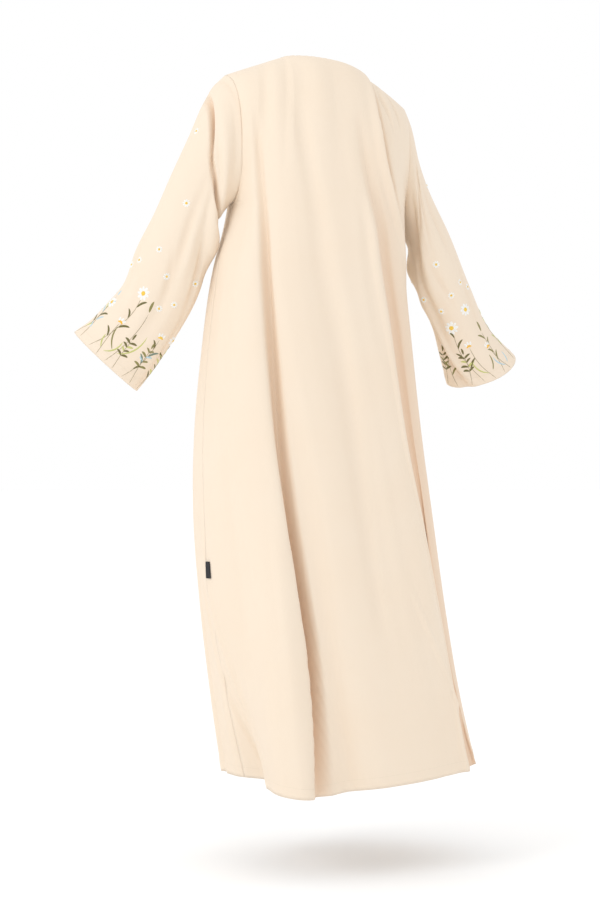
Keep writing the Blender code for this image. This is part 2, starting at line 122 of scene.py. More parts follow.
def add_light():
    world = bpy.data.worlds.new("white room")
    world.use_nodes = True
    world.node_tree.nodes["Background"].inputs["Color"].default_value = (1, 1, 1, 1)
    bpy.context.scene.world = world
    data = bpy.data.lights.new("large soft lamp", "AREA")
    data.shape = "DISK"
    data.size = KEY_SIZE
    data.energy = KEY_POWER
    lamp = bpy.data.objects.new("large soft lamp", data)
    lamp.location = KEY_PLACE
    lamp.rotation_euler = (VIEW_CENTRE - KEY_PLACE).to_track_quat("-Z", "Y").to_euler()
    bpy.context.scene.collection.objects.link(lamp)


add_floor()
add_light()
bpy.context.scene.view_settings.view_transform = "Standard"
bpy.context.scene.view_settings.look = "None"

# %% [markdown]
# ## Measuring round the body
# A dressmaker thinks of a cloak as rings round the body, one at each height. We do the same. An
# angle says where we are on a ring: 0 is the left side, 90 the centre back, 180 the right side, and
# 270 or -90 the centre front. A drop is the distance below the shoulders. Short tables give what
# matters, and a smooth curve fills in between, so the cloth has no kinks at the rows.

# %% Smooth curves through short tables
def column(table, names, name):
    return np.array([row[names.index(name)] for row in table], float)


def smooth_between(keys, values, at):
    """A smooth curve through the values at rising keys, level past both ends."""
    slopes = np.gradient(values, keys)
    at = np.clip(at, keys[0], keys[-1])
    i = np.clip(np.searchsorted(keys, at, side="right") - 1, 0, len(keys) - 2)
    span = keys[i + 1] - keys[i]
    f = (at - keys[i]) / span
    start = (1 + 2 * f) * (1 - f) ** 2 * values[i] + f * (1 - f) ** 2 * span * slopes[i]
    end = f**2 * (3 - 2 * f) * values[i + 1] - f**2 * (1 - f) * span * slopes[i + 1]
    return start + end


def ease(fraction):
    f = np.clip(fraction, 0, 1)
    return f * f * (3 - 2 * f)


def bump(distance):
    """1 in the middle, falling smoothly to 0 at a distance of 1."""
    return np.cos(np.clip(distance, -1, 1) * np.pi / 2) ** 2


print("a smooth step has risen to", float(ease(1 / 4)), "after a quarter of its way")

# %% [markdown]
# ## The rings of the cloak
# Nine rings are enough. Each has a middle, a half width, a depth behind and one in front, and the
# angles of its two side seams. Its squareness says how full its corners are. The hem isn't level,
# so it has a drop of its own for each angle.

# %% The rings of the body
RING_COLUMNS = (
    "drop", "centre_x", "centre_y", "half_width", "back_depth", "front_depth",
    "left_seam", "right_seam", "squareness",
)
RINGS = (
    (0.287, 0.002, 0.000, 0.172, 0.134, 0.120, 0, 180, 0.80),
    (0.330, 0.006, 0.000, 0.178, 0.136, 0.123, 1, 180, 0.82),
    (0.387, 0.014, 0.000, 0.187, 0.140, 0.130, 3, 180, 0.84),
    (0.559, 0.019, -0.005, 0.208, 0.152, 0.148, 5, 180, 0.88),
    (0.755, 0.013, -0.012, 0.226, 0.165, 0.170, 7, 182, 0.92),
    (0.892, 0.000, -0.018, 0.235, 0.175, 0.184, 8, 184, 0.94),
    (1.050, -0.023, -0.026, 0.239, 0.186, 0.198, 6, 187, 0.96),
    (1.244, -0.061, -0.038, 0.242, 0.198, 0.214, 4, 191, 0.98),
    (1.410, -0.102, -0.048, 0.248, 0.205, 0.228, 2, 194, 1.00),
)
SOFT_MIDDLE = 0.02
HEM_ANGLES = (-90, -30, 10, 50, 70, 110, 150, 185, 270)
HEM_DROPS = (1.385, 1.388, 1.396, 1.412, 1.401, 1.386, 1.380, 1.373, 1.385)


def ring(name, drop):
    return smooth_between(
        column(RINGS, RING_COLUMNS, "drop"), column(RINGS, RING_COLUMNS, name), drop
    )


def body_angle(place, drop):
    """The true angle of a place in the panels' own measure, where the side seams stay at 0 and 180."""
    left = ring("left_seam", drop)
    right = ring("right_seam", drop)
    back = left + place / 180 * (right - left)
    left_front = -90 + (place + 90) / 90 * (left + 90)
    right_front = 270 - (270 - place) / 90 * (270 - right)
    return np.where(place < 0, left_front, np.where(place > 180, right_front, back))


print("rings:", len(RINGS), "hem from", min(HEM_DROPS), "to", max(HEM_DROPS), "m down")

# %% [markdown]
# ## The great folds
# Cloth that hangs from the shoulders falls in long folds that widen towards the hem. Here each
# great fold is one row: where it starts, the angles that its middle line passes, and how far it
# stands out or sinks in. The solids have these folds too, so the sheet stays on them. Only two on
# the right are softer here, because the deep fold beside them takes up their cloth.

# %% The great folds
FOLD_COLUMNS = (
    "start", "angle_start", "angle_middle", "angle_hem",
    "height_middle", "height_hem", "spread_middle", "spread_hem",
)
GREAT_FOLDS = {
    "big ridge at the left of the back": (0.25, 34, 55, 48, 0.012, 0.066, 24, 24),
    "hollow to its right": (0.15, 34, 68, 66, -0.014, -0.016, 13, 14),
    "hollow behind its left flank": (0.80, 16, 16, 14, -0.002, -0.045, 16, 20),
    "soft hollow down the middle": (0.08, 62, 99, 104, -0.008, 0.000, 13, 14),
    "ridge at the right of the back": (0.15, 100, 126, 142, 0.008, 0.008, 14, 15),
    "hollow beside that ridge": (0.15, 116, 154, 168, -0.008, -0.020, 12, 11),
    "ridge at the right side": (0.45, 160, 170, 180, 0.008, 0.014, 14, 16),
    "ridge ahead of the right seam": (0.80, 206, 208, 210, 0.006, 0.030, 16, 16),
    "hollow in the right front": (0.50, 228, 230, 232, -0.010, -0.030, 14, 16),
    "ridge in the right front": (0.45, 248, 248, 248, 0.010, 0.026, 12, 14),
    "ridge ahead of the left seam": (0.60, -20, -20, -18, 0.006, 0.020, 16, 16),
    "hollow in the left front": (0.55, -42, -42, -42, -0.010, -0.030, 14, 16),
    "ridge by the left front edge": (0.50, -66, -66, -66, 0.010, 0.022, 12, 14),
}


def fold_height(angle, drop):
    total = np.zeros(np.broadcast(angle, drop).shape)
    hem = max(HEM_DROPS)
    for values in GREAT_FOLDS.values():
        fold = dict(zip(FOLD_COLUMNS, values))
        drops = np.array([fold["start"], (fold["start"] + hem) / 2, hem])
        angles = np.array([fold["angle_start"], fold["angle_middle"], fold["angle_hem"]], float)
        heights = np.array([0, fold["height_middle"], fold["height_hem"]])
        spread = np.interp(drop, drops[1:], [fold["spread_middle"], fold["spread_hem"]])
        middle = smooth_between(drops, angles, drop)
        total += smooth_between(drops, heights, drop) * bump((angle - middle) / spread)
    return total


def ring_point(place, drop):
    """A point of the cloth below the underarms: the plain ring, and the folds square to it."""
    angle = body_angle(place, drop)
    turn = np.radians(angle)
    square = ring("squareness", drop)
    depth = np.where(np.sin(turn) > 0, ring("back_depth", drop), ring("front_depth", drop))
    out = np.stack([np.cos(turn) / ring("half_width", drop), np.sin(turn) / depth])
    out /= np.hypot(*out)
    height = fold_height(angle, drop)
    cos = np.cos(turn) * (np.cos(turn) ** 2 + SOFT_MIDDLE) ** ((square - 1) / 2)
    sin = np.sign(np.sin(turn)) * np.abs(np.sin(turn)) ** square
    x = ring("centre_x", drop) + ring("half_width", drop) * cos + height * out[0]
    y = ring("centre_y", drop) + depth * sin + height * out[1]
    return np.stack([x, y, -drop + 0 * x], axis=-1)


print("great folds:", len(GREAT_FOLDS))

# %% [markdown]
# ## Shoulders, neck and armholes
# Above the underarms each thread of cloth starts on a top edge, the shoulder seam or the neck,
# turns over the shoulder and falls to the ring at underarm height. So each panel is one formula
# from its top edge to its hem: "across" goes over its width, and "down" goes from 0 at the top
# through 1 at underarm height to 2 at the hem.

# %% The top edges
NECK_HALF_WIDTH = 0.075
NAPE_Y = 0.052
NAPE_RISE = 0.008
NAPE_ROUNDNESS = 0.8
FRONT_NECK_Y = -0.085
FRONT_NECK_DROP = 0.095
NECK_TILT = 1.15
NECK_Z = {1: 0.007, -1: -0.021}
TIP = {1: (0.186, -0.010, -0.031), -1: (-0.186, -0.010, -0.077)}
SHOULDER_STEPS = 12
BACK_NECK_STEPS = 14
FRONT_NECK_STEPS = 9
FRONT_GAP_NECK = 0.004
FRONT_GAP_HEM = 0.035


def shoulder_line(side, fraction):
    """From the shoulder tip at 0 to the neck at 1. side is 1 left and -1 right."""
    tip = np.array(TIP[side])
    neck = np.array((side * NECK_HALF_WIDTH, 0, NECK_Z[side]))
    return tip + (neck - tip) * fraction[..., None]


def back_top(across):
    start = SHOULDER_STEPS / (2 * SHOULDER_STEPS + BACK_NECK_STEPS)
    left = shoulder_line(1, across / start)
    right = shoulder_line(-1, (1 - across) / start)
    round_neck = np.clip((across - start) / (1 - 2 * start), 0, 1)
    turn = np.pi * round_neck
    x = NECK_HALF_WIDTH * np.cos(turn)
    y = NAPE_Y * np.sin(turn) ** NAPE_ROUNDNESS
    z = NECK_Z[1] + (NECK_Z[-1] - NECK_Z[1]) * round_neck + NAPE_RISE * np.sin(turn)
    neck = np.stack([x, y, z], axis=-1)
    across = across[..., None]
    return np.where(across <= start, left, np.where(across >= 1 - start, right, neck))


def front_top(across, side):
    start = SHOULDER_STEPS / (SHOULDER_STEPS + FRONT_NECK_STEPS)
    turn = np.pi / 2 * np.clip((across - start) / (1 - start), 0, 1)
    x = side * (FRONT_GAP_NECK + (NECK_HALF_WIDTH - FRONT_GAP_NECK) * np.cos(turn))
    z = NECK_Z[side] + (-FRONT_NECK_DROP - NECK_Z[side]) * np.sin(turn) ** NECK_TILT
    neck = np.stack([x, FRONT_NECK_Y * np.sin(turn), z], axis=-1)
    return np.where(across[..., None] <= start, shoulder_line(side, across / start), neck)


print("left shoulder seam", round(math.dist(TIP[1], (NECK_HALF_WIDTH, 0, NECK_Z[1])), 3), "m long")

# %% [markdown]
# ## From the top edge down
# A panel leaves its top edge nearly level, turns over the shoulder and falls. One rounded curve
# does that. Along an armhole the cloth also bows out towards the sleeve, and below the underarm
# it simply follows the rings. The two fronts are the same formula, with a gap between their edges.

# %% The panels
UNDERARM_DROP = 0.287
UNDERARM_TILT = 0.010
ARMHOLE_BACK_BOW = 0.060
ARMHOLE_FRONT_BOW = 0.062
SHOULDER_TURN = 3.5
SHOULDER_CROWDING = 1.6
UNDERARM_CROWDING = 1.5
ARMHOLE_SQUARENESS = 2.2
BOW_SPREAD = 2
BOW_NARROWS = 10
EDGE_HOLD = 6
SLOPE_STEP = 0.01


def hang(top, place, edge, down, bow):
    """Cloth from its top edge to the hem. edge is 1 along an armhole and 0 across the panel."""
    under = UNDERARM_DROP - UNDERARM_TILT * np.cos(np.radians(np.clip(place, 0, 180)))
    foot = ring_point(place, under)
    fall = top[..., 2] - foot[..., 2]
    near_top = np.clip(down, 0, 1) ** SHOULDER_CROWDING
    near_foot = (1 - np.clip(down, 0, 1)) ** UNDERARM_CROWDING
    sunk = near_top / (near_top + near_foot)
    reach = np.sqrt(1 - (1 - sunk) ** SHOULDER_TURN)
    leaning = (ring_point(place, under + SLOPE_STEP) - foot) / SLOPE_STEP
    above = fall * (1 - sunk) * (1 - edge**EDGE_HOLD)
    upper = top + (foot - leaning * above[..., None] - top) * reach[..., None]
    upper[..., 2] = top[..., 2] - fall * sunk
    bowed = np.sqrt(1 - np.abs(2 * sunk - 1) ** ARMHOLE_SQUARENESS)
    upper[..., 1] += bow * bowed * edge ** (BOW_SPREAD + BOW_NARROWS * sunk**2)
    hem = np.interp(place, HEM_ANGLES, HEM_DROPS)
    lower = ring_point(place, under + (hem - under) * np.clip(down - 1, 0, 1))
    return np.where((down <= 1)[..., None], upper, lower)


def back_place(across, down):
    return 180 * across + 0 * down


def back_sheet(across, down):
    edge = np.abs(2 * across - 1)
    return hang(back_top(across), back_place(across, down), edge, down, ARMHOLE_BACK_BOW)


def front_place(across, down, side):
    gap = FRONT_GAP_NECK + (FRONT_GAP_HEM - FRONT_GAP_NECK) * np.clip(down / 2, 0, 1)
    rough_drop = UNDERARM_DROP + (max(HEM_DROPS) - UNDERARM_DROP) * np.clip(down - 1, 0, 1)
    reach = 90 - np.degrees(gap / ring("half_width", rough_drop))
    return np.where(side > 0, -reach * across, 180 + reach * across)


def front_sheet(across, down, side):
    place = front_place(across, down, side)
    return hang(front_top(across, side), place, 1 - across, down, -ARMHOLE_FRONT_BOW)


middle_of_hem = back_sheet(np.array([0.5]), np.array([2.0]))[0]
print("middle of the back hem at", [round(float(v), 3) for v in middle_of_hem])

# %% [markdown]
# ## The sleeves
# A set-in sleeve is a tube that starts as the closed loop of the armhole and becomes its own wide
# oval towards the cuff. The left one swings out and the right one bends forward, so its rings lean.
# The first rings are the armhole itself, which makes the seam fit without any joining step.

# %% Sleeve sizes
ARM = {1: (0.940, -0.342), -1: (-0.940, 0.342)}
SLEEVE_COLUMNS = (
    "along", "top_out", "top_drop", "under_out", "under_drop", "half_thick", "behind", "lean",
)
SLEEVE = {
    1: (
        (0.00, 0.176, 0.031, 0.158, 0.279, 0.062, 0.060, 0),
        (0.05, 0.201, 0.056, 0.171, 0.291, 0.062, 0.060, 0),
        (0.12, 0.222, 0.099, 0.192, 0.311, 0.060, 0.060, 0),
        (0.30, 0.262, 0.180, 0.207, 0.374, 0.056, 0.058, 0),
        (0.50, 0.311, 0.292, 0.228, 0.452, 0.050, 0.056, 0),
        (0.70, 0.350, 0.369, 0.263, 0.520, 0.047, 0.052, 2),
        (0.85, 0.379, 0.441, 0.303, 0.580, 0.045, 0.048, 4),
        (0.91, 0.402, 0.467, 0.322, 0.607, 0.045, 0.047, 4),
        (0.96, 0.437, 0.503, 0.337, 0.625, 0.045, 0.045, 5),
        (1.00, 0.469, 0.527, 0.349, 0.640, 0.044, 0.044, 6),
    ),
    -1: (
        (0.00, 0.171, 0.077, 0.162, 0.297, 0.062, -0.060, 0),
        (0.12, 0.181, 0.138, 0.186, 0.324, 0.062, -0.060, 2),
        (0.30, 0.218, 0.232, 0.192, 0.388, 0.062, -0.062, 6),
        (0.50, 0.264, 0.328, 0.205, 0.458, 0.060, -0.070, 14),
        (0.70, 0.307, 0.433, 0.232, 0.512, 0.058, -0.086, 22),
        (0.85, 0.344, 0.512, 0.246, 0.562, 0.057, -0.103, 28),
        (1.00, 0.400, 0.571, 0.262, 0.618, 0.056, -0.122, 32),
    ),
}
SLEEVE_BLEND = 0.42
SLEEVE_PEAR = 0.15
SLEEVE_LENGTH = 0.59
SLEEVE_RADIUS = 0.064
SLEEVE_HEAD = 0.06
SLEEVE_FOLD_FADE = 1.6
SLEEVE_FOLD_COLUMNS = (
    "along_start", "around_start", "along_end", "around_end", "height", "spread",
)
SLEEVE_FOLDS = {
    1: {
        "roll of cloth beside the armhole": (0.065, 0, 0.065, 180, 0.007, 0.030),
        "soft hollow along the forearm": (0.45, 120, 0.98, 100, -0.005, 0.022),
        "hollow in front of the elbow": (0.30, 230, 0.75, 265, -0.008, 0.024),
    },
    -1: {
        "hollow from the shoulder": (0.08, 70, 0.32, 120, -0.004, 0.028),
        "hollow above the underside": (0.22, 150, 0.80, 125, -0.010, 0.022),
        "hollow in front of the elbow": (0.30, 230, 0.75, 265, -0.008, 0.024),
    },
}
print("sleeve sections:", {side: len(rows) for side, rows in SLEEVE.items()})

# %% [markdown]
# ## Drawing the tube
# Each ring lies between a point on top and one underneath, with its thickness to the back and the
# front, fuller above than below. The loop of the armhole fades into these rings over the first
# part of the sleeve. Straight folds are then laid over the tube from one place to another.

# %% The sleeve tube
def armhole(side, down):
    across = np.full(down.shape, 0.0 if side > 0 else 1.0)
    return back_sheet(across, down), front_sheet(np.zeros(down.shape), down, side)


def length_along(points):
    """How far each point of a line lies from its first one, measured along the line."""
    return np.concatenate([[0], np.cumsum(np.linalg.norm(np.diff(points, axis=0), axis=1))])


def share_of_length(points):
    lengths = length_along(points)
    return lengths / lengths[-1]


def along_folds(folds, along, around):
    """Heights of folds that run straight over the sleeve, from one place on it to another."""
    total = np.zeros(np.broadcast(along, around).shape)
    for values in folds.values():
        fold = dict(zip(SLEEVE_FOLD_COLUMNS, values))
        run_along = (fold["along_end"] - fold["along_start"]) * SLEEVE_LENGTH
        run_around = np.radians(fold["around_end"] - fold["around_start"]) * SLEEVE_RADIUS
        here_along = (along - fold["along_start"]) * SLEEVE_LENGTH
        here_around = np.radians(around - fold["around_start"]) * SLEEVE_RADIUS
        length = np.hypot(run_along, run_around)
        travelled = (here_along * run_along + here_around * run_around) / length
        beside = np.abs(here_along * run_around - here_around * run_along) / length
        fades = bump((travelled / length - 1 / 2) * SLEEVE_FOLD_FADE)
        total += fold["height"] * fades * bump(beside / fold["spread"])
    return total


def sleeve_sheet(side, down, along):
    """(points, around): rings of a sleeve, and the degrees round it, 0 on top and 90 at the back."""
    back, front = armhole(side, down)
    loop = np.concatenate([back, front[-2:0:-1]])
    around = np.concatenate(
        [180 * share_of_length(back), 360 - 180 * share_of_length(front)[-2:0:-1]]
    )
    keys = column(SLEEVE[side], SLEEVE_COLUMNS, "along")
    size = {
        name: smooth_between(keys, column(SLEEVE[side], SLEEVE_COLUMNS, name), along)
        for name in SLEEVE_COLUMNS[1:]
    }
    arm = np.array(ARM[side])
    behind = np.abs(arm[::-1])

    def line(out, drop):
        plan = arm * out[:, None] + behind * size["behind"][:, None]
        return np.concatenate([plan, -drop[:, None]], axis=1)

    top = line(size["top_out"], size["top_drop"])
    under = line(size["under_out"], size["under_drop"])
    centre = (top + under) / 2
    tall = (top - under) / 2
    phi = np.radians(around)
    thick = size["half_thick"][:, None] * np.sin(phi) * (1 + SLEEVE_PEAR * np.cos(phi))
    lean = np.radians(size["lean"])
    across = np.column_stack([np.outer(np.cos(lean), behind), -np.sin(lean)])
    shaped = tall[:, None] * np.cos(phi)[None, :, None] + thick[..., None] * across[:, None]
    blend = ease(along / SLEEVE_BLEND)[:, None, None]
    offset = (1 - blend) * (loop - centre[0])[None] + blend * shaped
    height = along_folds(SLEEVE_FOLDS[side], along[:, None], around[None, :])
    out = offset / np.linalg.norm(offset, axis=2, keepdims=True)
    height = height * ease(along / SLEEVE_HEAD)[:, None]
    return centre[:, None] + offset + out * height[..., None], around


both_ends, _ = sleeve_sheet(1, np.linspace(0, 1, 2 * SHOULDER_STEPS), np.array([0.0, 1.0]))
girths = [length_along(np.append(loop, loop[:1], axis=0))[-1] for loop in both_ends]
print("left armhole and cuff are", [round(float(girth), 3) for girth in girths], "m round")

# %% [markdown]
# ## From grids to cloth
# Each panel is worked out on a fine grid, a few millimetres to a step. The grid's own normals say
# which way is out of the cloth, and everything smaller than a great fold is a small move along
# them: creases, the roll of the cloth into a seam, the extra layers of a hem. That keeps a detail
# square to the cloth wherever it lies. Two of the grids run the other way round, so their squares
# face in and are turned over.

# %% Fine grids
FINER = 5
FINER_DOWN = 7
ARMHOLE_ROWS = 9 * FINER_DOWN
SKIRT_ROWS = 150
SLEEVE_ROWS = 170
TURNED_OVER = ("left_front", "right_sleeve")


def grid_points(points, closed):
    """The four corner numbers of each square of a grid, in the order rows then columns."""
    rows, columns = points.shape[:2]
    r, c = np.meshgrid(np.arange(rows - 1), np.arange(columns if closed else columns - 1), indexing="ij")
    n = (c + 1) % columns
    corners = [r * columns + c, (r + 1) * columns + c, (r + 1) * columns + n, r * columns + n]
    return np.stack(corners, axis=-1).reshape(-1, 4)


def square_crosses(points, closed):
    """(corner numbers, crosses): a cross points square to its square and is twice its area long."""
    squares = grid_points(points, closed)
    flat = points.reshape(-1, 3)
    diagonals = flat[squares[:, 2]] - flat[squares[:, 0]], flat[squares[:, 3]] - flat[squares[:, 1]]
    return squares, np.cross(*diagonals)


def outward_of(points, closed, turned):
    """The unit direction out of the cloth at each point of a grid."""
    squares, crosses = square_crosses(points, closed)
    total = np.zeros((points.shape[0] * points.shape[1], 3))
    for corner in range(4):
        np.add.at(total, squares[:, corner], crosses)
    total /= np.linalg.norm(total, axis=1, keepdims=True)
    return (-total if turned else total).reshape(points.shape)


down = np.concatenate(
    [np.linspace(0, 1, ARMHOLE_ROWS + 1), 1 + np.linspace(0, 1, SKIRT_ROWS + 1)[1:]]
)
back_across = np.linspace(0, 1, (2 * SHOULDER_STEPS + BACK_NECK_STEPS) * FINER + 1)
front_across = np.linspace(0, 1, (SHOULDER_STEPS + FRONT_NECK_STEPS) * FINER + 1)
along = np.linspace(0, 1, SLEEVE_ROWS + 1)
print("back grid:", len(down), "by", len(back_across))

# %% [markdown]
# ## Deep folds
# Three folds of the back are so deep that they read as dark lines: one from the left armhole to the
# hem, one from the right shoulder blade to the side, and one that tucks into the right armhole. At
# each the cloth stands up in a crest and then drops steeply into a narrow valley. Each is a short
# table of where its valley runs, how wide it is on either side, and how deep. Two are pressed
# straight in. The one on the right lies where the back turns to the side, and the cloth past it is
# tucked forward, so the crest hangs over it.

# %% Deep folds of the back
DEEP_COLUMNS = ("drop", "angle", "wide_before", "wide_after", "depth", "crest")
DEEP_FOLDS = {
    "left valley": (
        (0.10, 26.0, 0.018, 0.016, 0.000, 0.000),
        (0.20, 33.0, 0.018, 0.014, 0.006, 0.001),
        (0.28, 37.5, 0.018, 0.014, 0.009, 0.001),
        (0.38, 48.5, 0.018, 0.013, 0.014, 0.002),
        (0.57, 58.8, 0.018, 0.013, 0.020, 0.002),
        (0.75, 64.2, 0.018, 0.011, 0.026, 0.003),
        (0.95, 67.2, 0.017, 0.009, 0.036, 0.004),
        (1.14, 66.8, 0.017, 0.009, 0.042, 0.004),
        (1.30, 62.8, 0.017, 0.010, 0.036, 0.003),
        (1.41, 58.5, 0.018, 0.013, 0.024, 0.002),
    ),
    "right valley": (
        (0.10, 98.0, 0.012, 0.020, 0.000, 0.000),
        (0.24, 104.5, 0.008, 0.032, 0.009, 0.003),
        (0.35, 115.0, 0.007, 0.040, 0.020, 0.006),
        (0.47, 123.5, 0.008, 0.050, 0.028, 0.008),
        (0.61, 129.5, 0.009, 0.062, 0.036, 0.010),
        (0.76, 134.8, 0.010, 0.070, 0.042, 0.012),
        (0.90, 142.4, 0.010, 0.062, 0.046, 0.013),
        (1.00, 146.4, 0.009, 0.054, 0.050, 0.013),
        (1.12, 148.8, 0.008, 0.056, 0.054, 0.013),
        (1.25, 143.0, 0.008, 0.070, 0.054, 0.012),
        (1.33, 140.5, 0.009, 0.076, 0.052, 0.011),
        (1.41, 139.5, 0.009, 0.078, 0.050, 0.010),
    ),
    "tuck into the right armhole": (
        (0.02, 117.0, 0.006, 0.012, 0.002, 0.001),
        (0.09, 114.6, 0.005, 0.014, 0.008, 0.005),
        (0.15, 117.0, 0.005, 0.016, 0.012, 0.009),
        (0.21, 121.5, 0.005, 0.018, 0.015, 0.011),
        (0.26, 128.6, 0.005, 0.020, 0.016, 0.011),
        (0.32, 140.0, 0.005, 0.020, 0.014, 0.008),
        (0.38, 156.0, 0.007, 0.018, 0.007, 0.003),
        (0.44, 168.0, 0.010, 0.018, 0.000, 0.000),
    ),
}
TUCKED_FORWARD = ("right valley",)
PRESSED_IN = ("left valley", "tuck into the right armhole")
BACKWARD = np.array((0.342, 0.940, 0))
CREST_WIDTH = 0.022


def along_fold(rows, name, drop):
    return smooth_between(column(rows, DEEP_COLUMNS, "drop"), column(rows, DEEP_COLUMNS, name), drop)


def metres_per_degree(drop):
    return np.radians((ring("half_width", drop) + ring("back_depth", drop)) / 2)


def deep_fold_height(angle, drop, names):
    total = np.zeros(np.broadcast(angle, drop).shape)
    for rows in (DEEP_FOLDS[name] for name in names):
        off = (angle - along_fold(rows, "angle", drop)) * metres_per_degree(drop)
        before, after = along_fold(rows, "wide_before", drop), along_fold(rows, "wide_after", drop)
        valley = bump(off / np.where(off < 0, before, after))
        crest = bump((off + before) / CREST_WIDTH) * (off < 0)
        total += along_fold(rows, "crest", drop) * crest - along_fold(rows, "depth", drop) * valley
    return total


print("deep folds:", ", ".join(DEEP_FOLDS))

# %% [markdown]
# ## Light inside a fold
# Light that gets into a deep fold touches cream cloth several times and comes out peach. Only a few
# bounces are rendered, so we note how deep in a fold each place lies, from 0 to 1, and paint shade
# into the crepe there as a darker, warmer cream. The painted shade ends a little past the valley,
# and reaches furthest on the right, where all the cloth behind the crest is turned away from the
# light. The note belongs to the cloth, so it is the same from every side.

# %% Painted shade in the folds
# Painted shade: how far past its valley each fold's darker cream reaches, and the fold depth at which it
# is full.
PAINTED_SHADE_REACH = {"left valley": 1.5, "right valley": 2.4, "tuck into the right armhole": 1.5}
FULL_PAINTED_SHADE_DEPTH = 0.042
SLEEVE_FULL_PAINTED_SHADE_DEPTH = 0.026


# Painted shade: how strongly each place of the crepe is painted the darker, warmer cream of a deep fold.
def painted_fold_shade_of(angle, drop):
    """1 at the bottom of a deep fold, falling to 0 past the sides of its valley."""
    most = np.zeros(np.broadcast(angle, drop).shape)
    for name, rows in DEEP_FOLDS.items():
        off = (angle - along_fold(rows, "angle", drop)) * metres_per_degree(drop)
        before = along_fold(rows, "wide_before", drop)
        after = along_fold(rows, "wide_after", drop) * PAINTED_SHADE_REACH[name]
        share = along_fold(rows, "depth", drop) / FULL_PAINTED_SHADE_DEPTH
        most = np.maximum(most, share * bump(off / np.where(off < 0, before, after)))
    return np.clip(most, 0, 1)


print("the warm strip is widest in the", max(PAINTED_SHADE_REACH, key=PAINTED_SHADE_REACH.get))

# %% [markdown]
# ## More points where the cloth turns
# An even grid would cut the corners of a narrow valley. So the columns of the back are drawn
# together there, and the edges of the panel stay where they are.

# %% Columns drawn together
CROWD_REACH = {"left valley": 0.055, "right valley": 0.050, "tuck into the right armhole": 0.035}
CROWD = 0.72


def crowded(across, down):
    """The back's columns, drawn together at each deep fold."""
    near_top = np.clip(down, 0, 1) ** SHOULDER_CROWDING
    sunk = near_top / (near_top + (1 - np.clip(down, 0, 1)) ** UNDERARM_CROWDING)
    drop = UNDERARM_DROP * sunk + (max(HEM_DROPS) - UNDERARM_DROP) * np.clip(down - 1, 0, 1)
    for name, rows in DEEP_FOLDS.items():
        left, right = ring("left_seam", drop), ring("right_seam", drop)
        middle = (along_fold(rows, "angle", drop) - left) / (right - left)
        reach = np.minimum(CROWD_REACH[name], 1 - middle)
        strength = CROWD * ease(drop / UNDERARM_DROP)
        t = np.clip((across - middle) / reach, -1, 1)
        across = across - strength * t * (1 - t * t) ** 2 * reach
    return across


print("most columns at:", ", ".join(CROWD_REACH))

# %% [markdown]
# ## Creases
# Between the great folds real crepe has soft shallow creases that start somewhere, wander, and die
# away, each with its own length and depth. They are listed from what shows, with plain ones of the
# same kind on the sides that do not show.

# %% Creases of the body
CREASE_COLUMNS = (
    "drop_start", "drop_end", "angle_start", "angle_middle", "angle_end",
    "wide_before", "wide_after", "depth",
)
BODY_CREASES = (
    (0.05, 1.15, 62, 95, 101, 0.024, 0.022, -0.0050),
    (0.08, 0.62, 96, 106, 118, 0.018, 0.018, -0.0030),
    (0.03, 0.17, 114, 127, 136, 0.008, 0.010, -0.0038),
    (0.03, 0.15, 128, 142, 150, 0.007, 0.009, -0.0032),
    (0.85, 1.50, 58, 56, 49, 0.018, 0.022, 0.0040),
    (0.85, 1.50, 2, 12, 37, 0.012, 0.016, 0.0050),
    (0.95, 1.50, -6, 6, 26, 0.012, 0.010, -0.0040),
    (0.98, 1.50, 116, 140, 166, 0.010, 0.012, 0.0040),
    (0.40, 1.10, 20, 30, 38, 0.026, 0.026, -0.0022),
    (0.24, 0.46, 6, 8, 10, 0.050, 0.045, 0.0060),
    (0.70, 1.50, 84, 86, 86, 0.030, 0.030, 0.0016),
    (0.60, 1.35, 104, 110, 116, 0.026, 0.022, -0.0014),
    (0.34, 1.50, 182, 186, 190, 0.018, 0.014, -0.0040),
    (0.20, 1.20, 200, 206, 214, 0.018, 0.022, 0.0030),
    (0.36, 1.50, 212, 222, 226, 0.018, 0.012, -0.0090),
    (0.14, 0.90, 226, 232, 240, 0.016, 0.020, -0.0026),
    (0.55, 1.50, 238, 242, 244, 0.014, 0.018, 0.0040),
    (0.25, 1.20, 254, 257, 259, 0.018, 0.014, -0.0030),
    (0.30, 1.50, -12, -14, -12, 0.016, 0.012, -0.0060),
    (0.16, 0.85, -20, -27, -31, 0.020, 0.016, 0.0030),
    (0.50, 1.50, -30, -34, -35, 0.012, 0.018, -0.0100),
    (0.22, 1.10, -48, -52, -53, 0.018, 0.016, 0.0034),
    (0.70, 1.50, -56, -57, -58, 0.014, 0.018, -0.0040),
    (0.16, 0.95, -70, -74, -77, 0.020, 0.014, -0.0024),
)
CREASE_FADE = 0.12


def crease_height(angle, drop):
    total = np.zeros(np.broadcast(angle, drop).shape)
    for values in BODY_CREASES:
        crease = dict(zip(CREASE_COLUMNS, values))
        start, end = crease["drop_start"], crease["drop_end"]
        drops = np.array([start, (start + end) / 2, end])
        angles = np.array([crease["angle_start"], crease["angle_middle"], crease["angle_end"]], float)
        off = (angle - smooth_between(drops, angles, drop)) * metres_per_degree(drop)
        wide = np.where(off < 0, crease["wide_before"], crease["wide_after"])
        fade = min(CREASE_FADE, (end - start) / 2)
        runs = ease((drop - start) / fade) * ease((end - drop) / fade)
        total += crease["depth"] * runs * bump(off / wide)
    return total


print("body creases:", len(BODY_CREASES))

# %% [markdown]
# ## Creases of the sleeves
# A sleeve creases where it hangs from the shoulder and where it bends at the elbow, and under the
# arm it has slack cloth that sags. Each row runs straight over the tube from one place to another.

